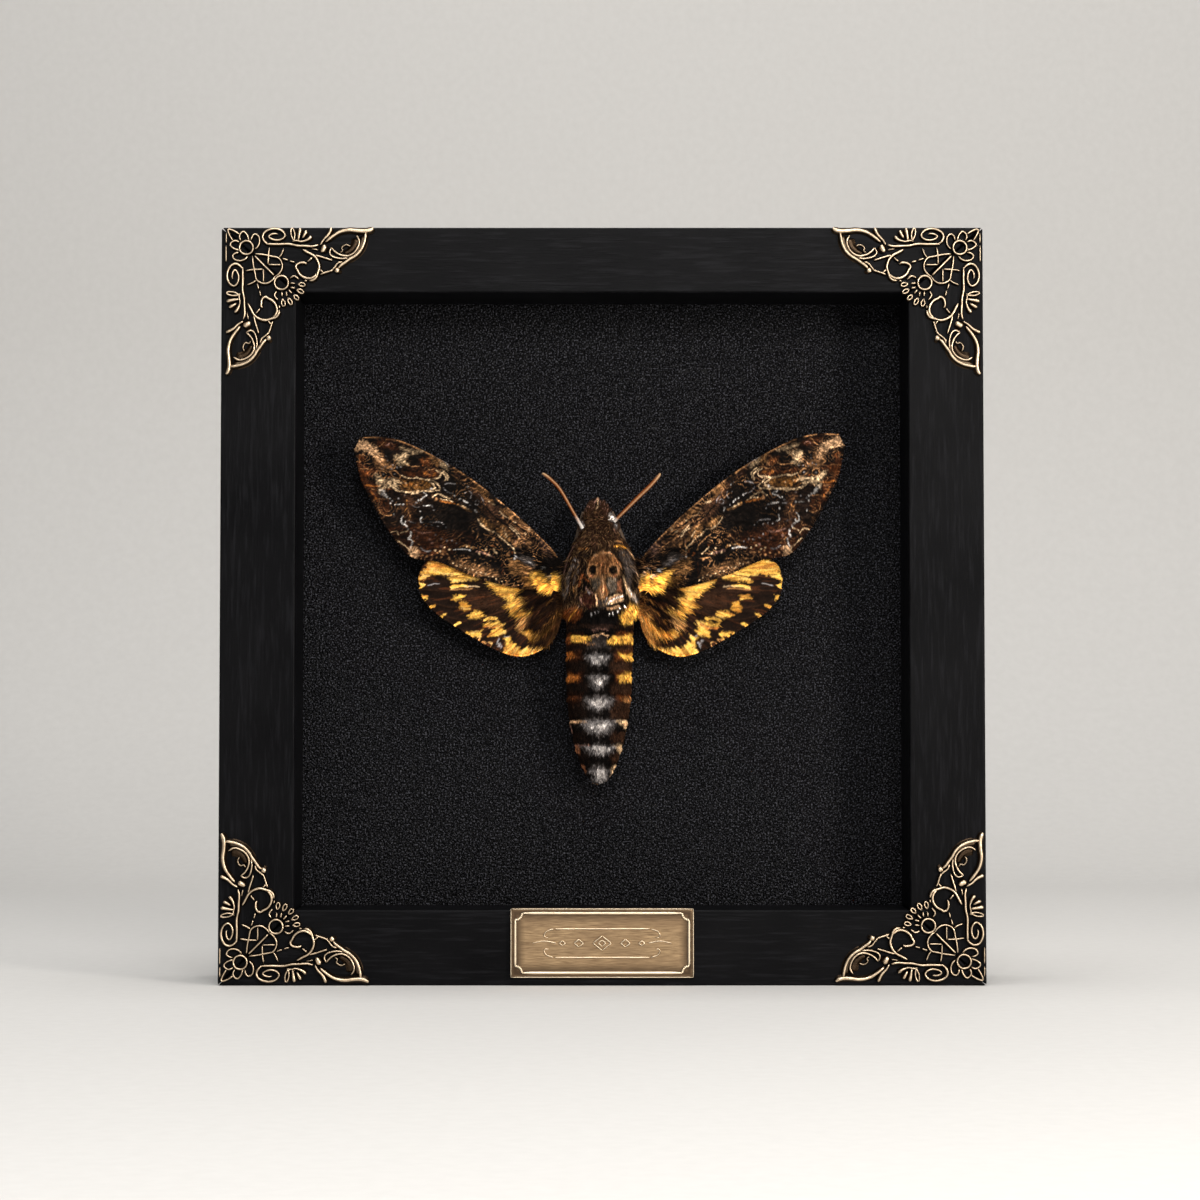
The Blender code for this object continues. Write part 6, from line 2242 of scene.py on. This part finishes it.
@dataclass
class Feelers:
    """The antennae, the eyes, the palps and the legs."""

    left_route: Points = (
        (3.7, 106.9, -6.6, 0.42), (5.9, 110.7, -7.0, 0.46), (9.0, 116.0, -7.3, 0.5), (11.2, 118.4, -7.3, 0.52),
        (12.8, 119.7, -7.0, 0.42), (13.2, 119.8, -6.7, 0.26))
    right_route: Points = (
        (3.7, 108.5, -6.6, 0.46), (6.0, 110.8, -7.0, 0.54), (9.2, 114.0, -7.3, 0.62), (12.3, 117.0, -7.3, 0.62),
        (14.2, 119.2, -7.0, 0.48), (14.6, 119.9, -6.7, 0.28))
    palp_route: Points = (
        (1.5, 108.4, 0.5, 0.8), (1.7, 110.6, 0.0, 1.0), (1.4, 112.8, -1.2, 0.6))
    antenna_axis: float = -0.9
    eye_axis: float = -0.8
    eye_radius: float = 1.62
    eye_width: float = 0.78
    eye_place: tuple[float, float, float] = (3.9, -4.8, 107.6)
    palp_axis: float = -1.1
    palp_depth: float = BODY_DEPTH - 1.2
    palp_sides: int = 16
    palp_tufts: int = 900

    def antenna(self, side: Side) -> None:
        """Builds one ringed antenna, thickest near its end and hooked at its tip."""
        route = np.array(self.left_route if side is Side.LEFT else self.right_route)
        fine = smooth_curve(route, 150)
        places = np.stack([self.antenna_axis + side.value * fine[:, 0], fine[:, 2], fine[:, 1]], axis=1)
        soup = Soup()
        ring = circle(20)

        def section(share: float) -> Array:
            """Returns the antenna's section, which swells at each of its joints."""
            size = np.interp(share, np.linspace(0, 1, len(fine)), fine[:, 3])
            return ring * size * (0.93 + 0.09 * abs(math.sin(share * 75))) * np.array([0.9, 1.0])

        soup.sweep(places, section)
        mesh = soup.mesh(f"ringed_antenna_{side.word}")
        share = np.repeat(np.linspace(0, 1, len(fine)), len(ring))[:, None]
        front = np.tile(held(ring[:, 1]), len(fine))[:, None]
        # A pale stripe down one side of the antenna's front is a painted highlight; the pale tip is strongest along
        # it.
        ridge = np.tile(np.exp(-(((ring[:, 0] - 0.25) / 0.26) ** 2)) * (ring[:, 1] > 0), len(fine))[:, None]
        colour = Tint.UMBER.light * (1 - front) + Tint.RUST.light * front**2
        colour = colour * (1 - ridge * 0.7) + Tint.CREAM.light * ridge * 0.5
        pale = held(1.0 - share * (4.5 if side is Side.LEFT else 12.0))
        colour = colour * (1 - pale) + Tint.WHITE.light * pale
        tip = held((share - 0.84) * 7) * (0.25 + 0.6 * ridge)
        colour = colour * (1 - tip) + Tint.CREAM.light * tip
        paint(mesh, colour)
        piece(mesh, Scales(f"antenna_scales_{side.word}", 9.0, 0.03, 0.6).material(),
              (f"antenna_{side.word}",))

    def eye(self, side: Side, finish: Material) -> None:
        """Builds one domed eye."""
        ring, lift = circle(32), np.linspace(-math.pi / 2, math.pi / 2, 21)[1:-1]
        across, deep = np.cos(lift)[:, None], np.sin(lift)[:, None]
        ball = np.stack([across * ring[:, 0], deep * np.ones(len(ring)), across * ring[:, 1]], axis=-1)
        places = np.vstack([ball.reshape(-1, 3), [[0, -1, 0], [0, 1, 0]]]) * self.eye_radius
        places[:, 0] = places[:, 0] * self.eye_width + side.value * self.eye_place[0] + self.eye_axis
        places[:, 1:] += self.eye_place[1:]
        rows, sides = ball.shape[:2]
        first = np.arange(sides)
        then, last = np.roll(first, -1), sides * (rows - 1)
        soup = Soup()
        soup.add(places, grid_faces(rows, sides, closed=True, flip=True),
                 np.stack([first, then, np.full(sides, rows * sides)], axis=1),
                 np.stack([then + last, first + last, np.full(sides, rows * sides + 1)], axis=1))
        piece(soup.mesh(f"glossy_eye_{side.word}"), finish, (f"eye_{side.word}",))

    def palp(self, side: Side) -> None:
        """Builds one blunt palp covered in short tufts."""
        route = np.array(self.palp_route)
        fine = smooth_curve(route, 40)
        places = np.stack([self.palp_axis + side.value * fine[:, 0], self.palp_depth + fine[:, 2], fine[:, 1]],
                          axis=1)
        chance = np.random.default_rng(83 + side.value)
        ring = circle(self.palp_sides)
        soup = Soup()

        def section(share: float) -> Array:
            """Returns the palp's section, rounded off at its tip."""
            size = np.interp(share, np.linspace(0, 1, len(fine)), fine[:, 3]) * 0.85
            return ring * size * math.sqrt(max(0.02, 1 - max(0.0, share - 0.75) * 4))

        soup.sweep(places, section)
        body = np.vstack(soup.places)
        count = self.palp_tufts
        picked = chance.integers(0, len(body), count)
        facing = unit(body[picked] - places[picked // self.palp_sides])
        lie = unit(np.array([0.0, -0.1, 1.0]) + chance.normal(0, 0.15, (count, 3)))
        roots = body[picked] + chance.normal(0, 0.05, (count, 3))
        more, faces = grow_tufts(roots, facing, lie, chance.uniform(0.5, 1.0, count), np.full(count, 0.13),
                                 chance.uniform(0.1, 0.5, count))
        soup.add(more, faces)
        name = f"palp_{side.word}"
        mesh = soup.mesh("furred_" + name)
        tone = np.where(chance.uniform(0, 1, count)[:, None] < 0.08, Tint.PINK.light, Tint.BISTRE.light)
        paint(mesh, np.vstack([np.tile(Tint.BISTRE.light, (len(body), 1)), shaded(tone[:, None, :], PALP_SHADE)]))
        piece(mesh, Hair("hair_" + name).material(), (name,))

    def build(self) -> None:
        """Builds everything that stands off the body."""
        glossy = DarkEye().material()
        for side in Side:
            self.antenna(side)
            self.eye(side, glossy)
            self.palp(side)
        legs = PressedFibre("leg_scales", (0.09, 0.055, 0.035), (0.2, 0.14, 0.09), 4.0).material()
        for pair in ("fore", "mid", "hind"):
            dress((f"{pair}_leg_left", f"{pair}_leg_right"), legs)


def main() -> None:
    """Builds the studio, the case and the moth."""
    studio = Studio()
    studio.camera()
    studio.lamps()
    studio.backdrop()
    Case().build()
    BrassTrim().build()
    Coat(Trunk()).build()
    for side in Side:
        for cut in Cut:
            Wing(cut, side).build()
    Feelers().build()


if __name__ == "__main__":
    logging.basicConfig(level=logging.INFO, format="%(message)s")
    main()
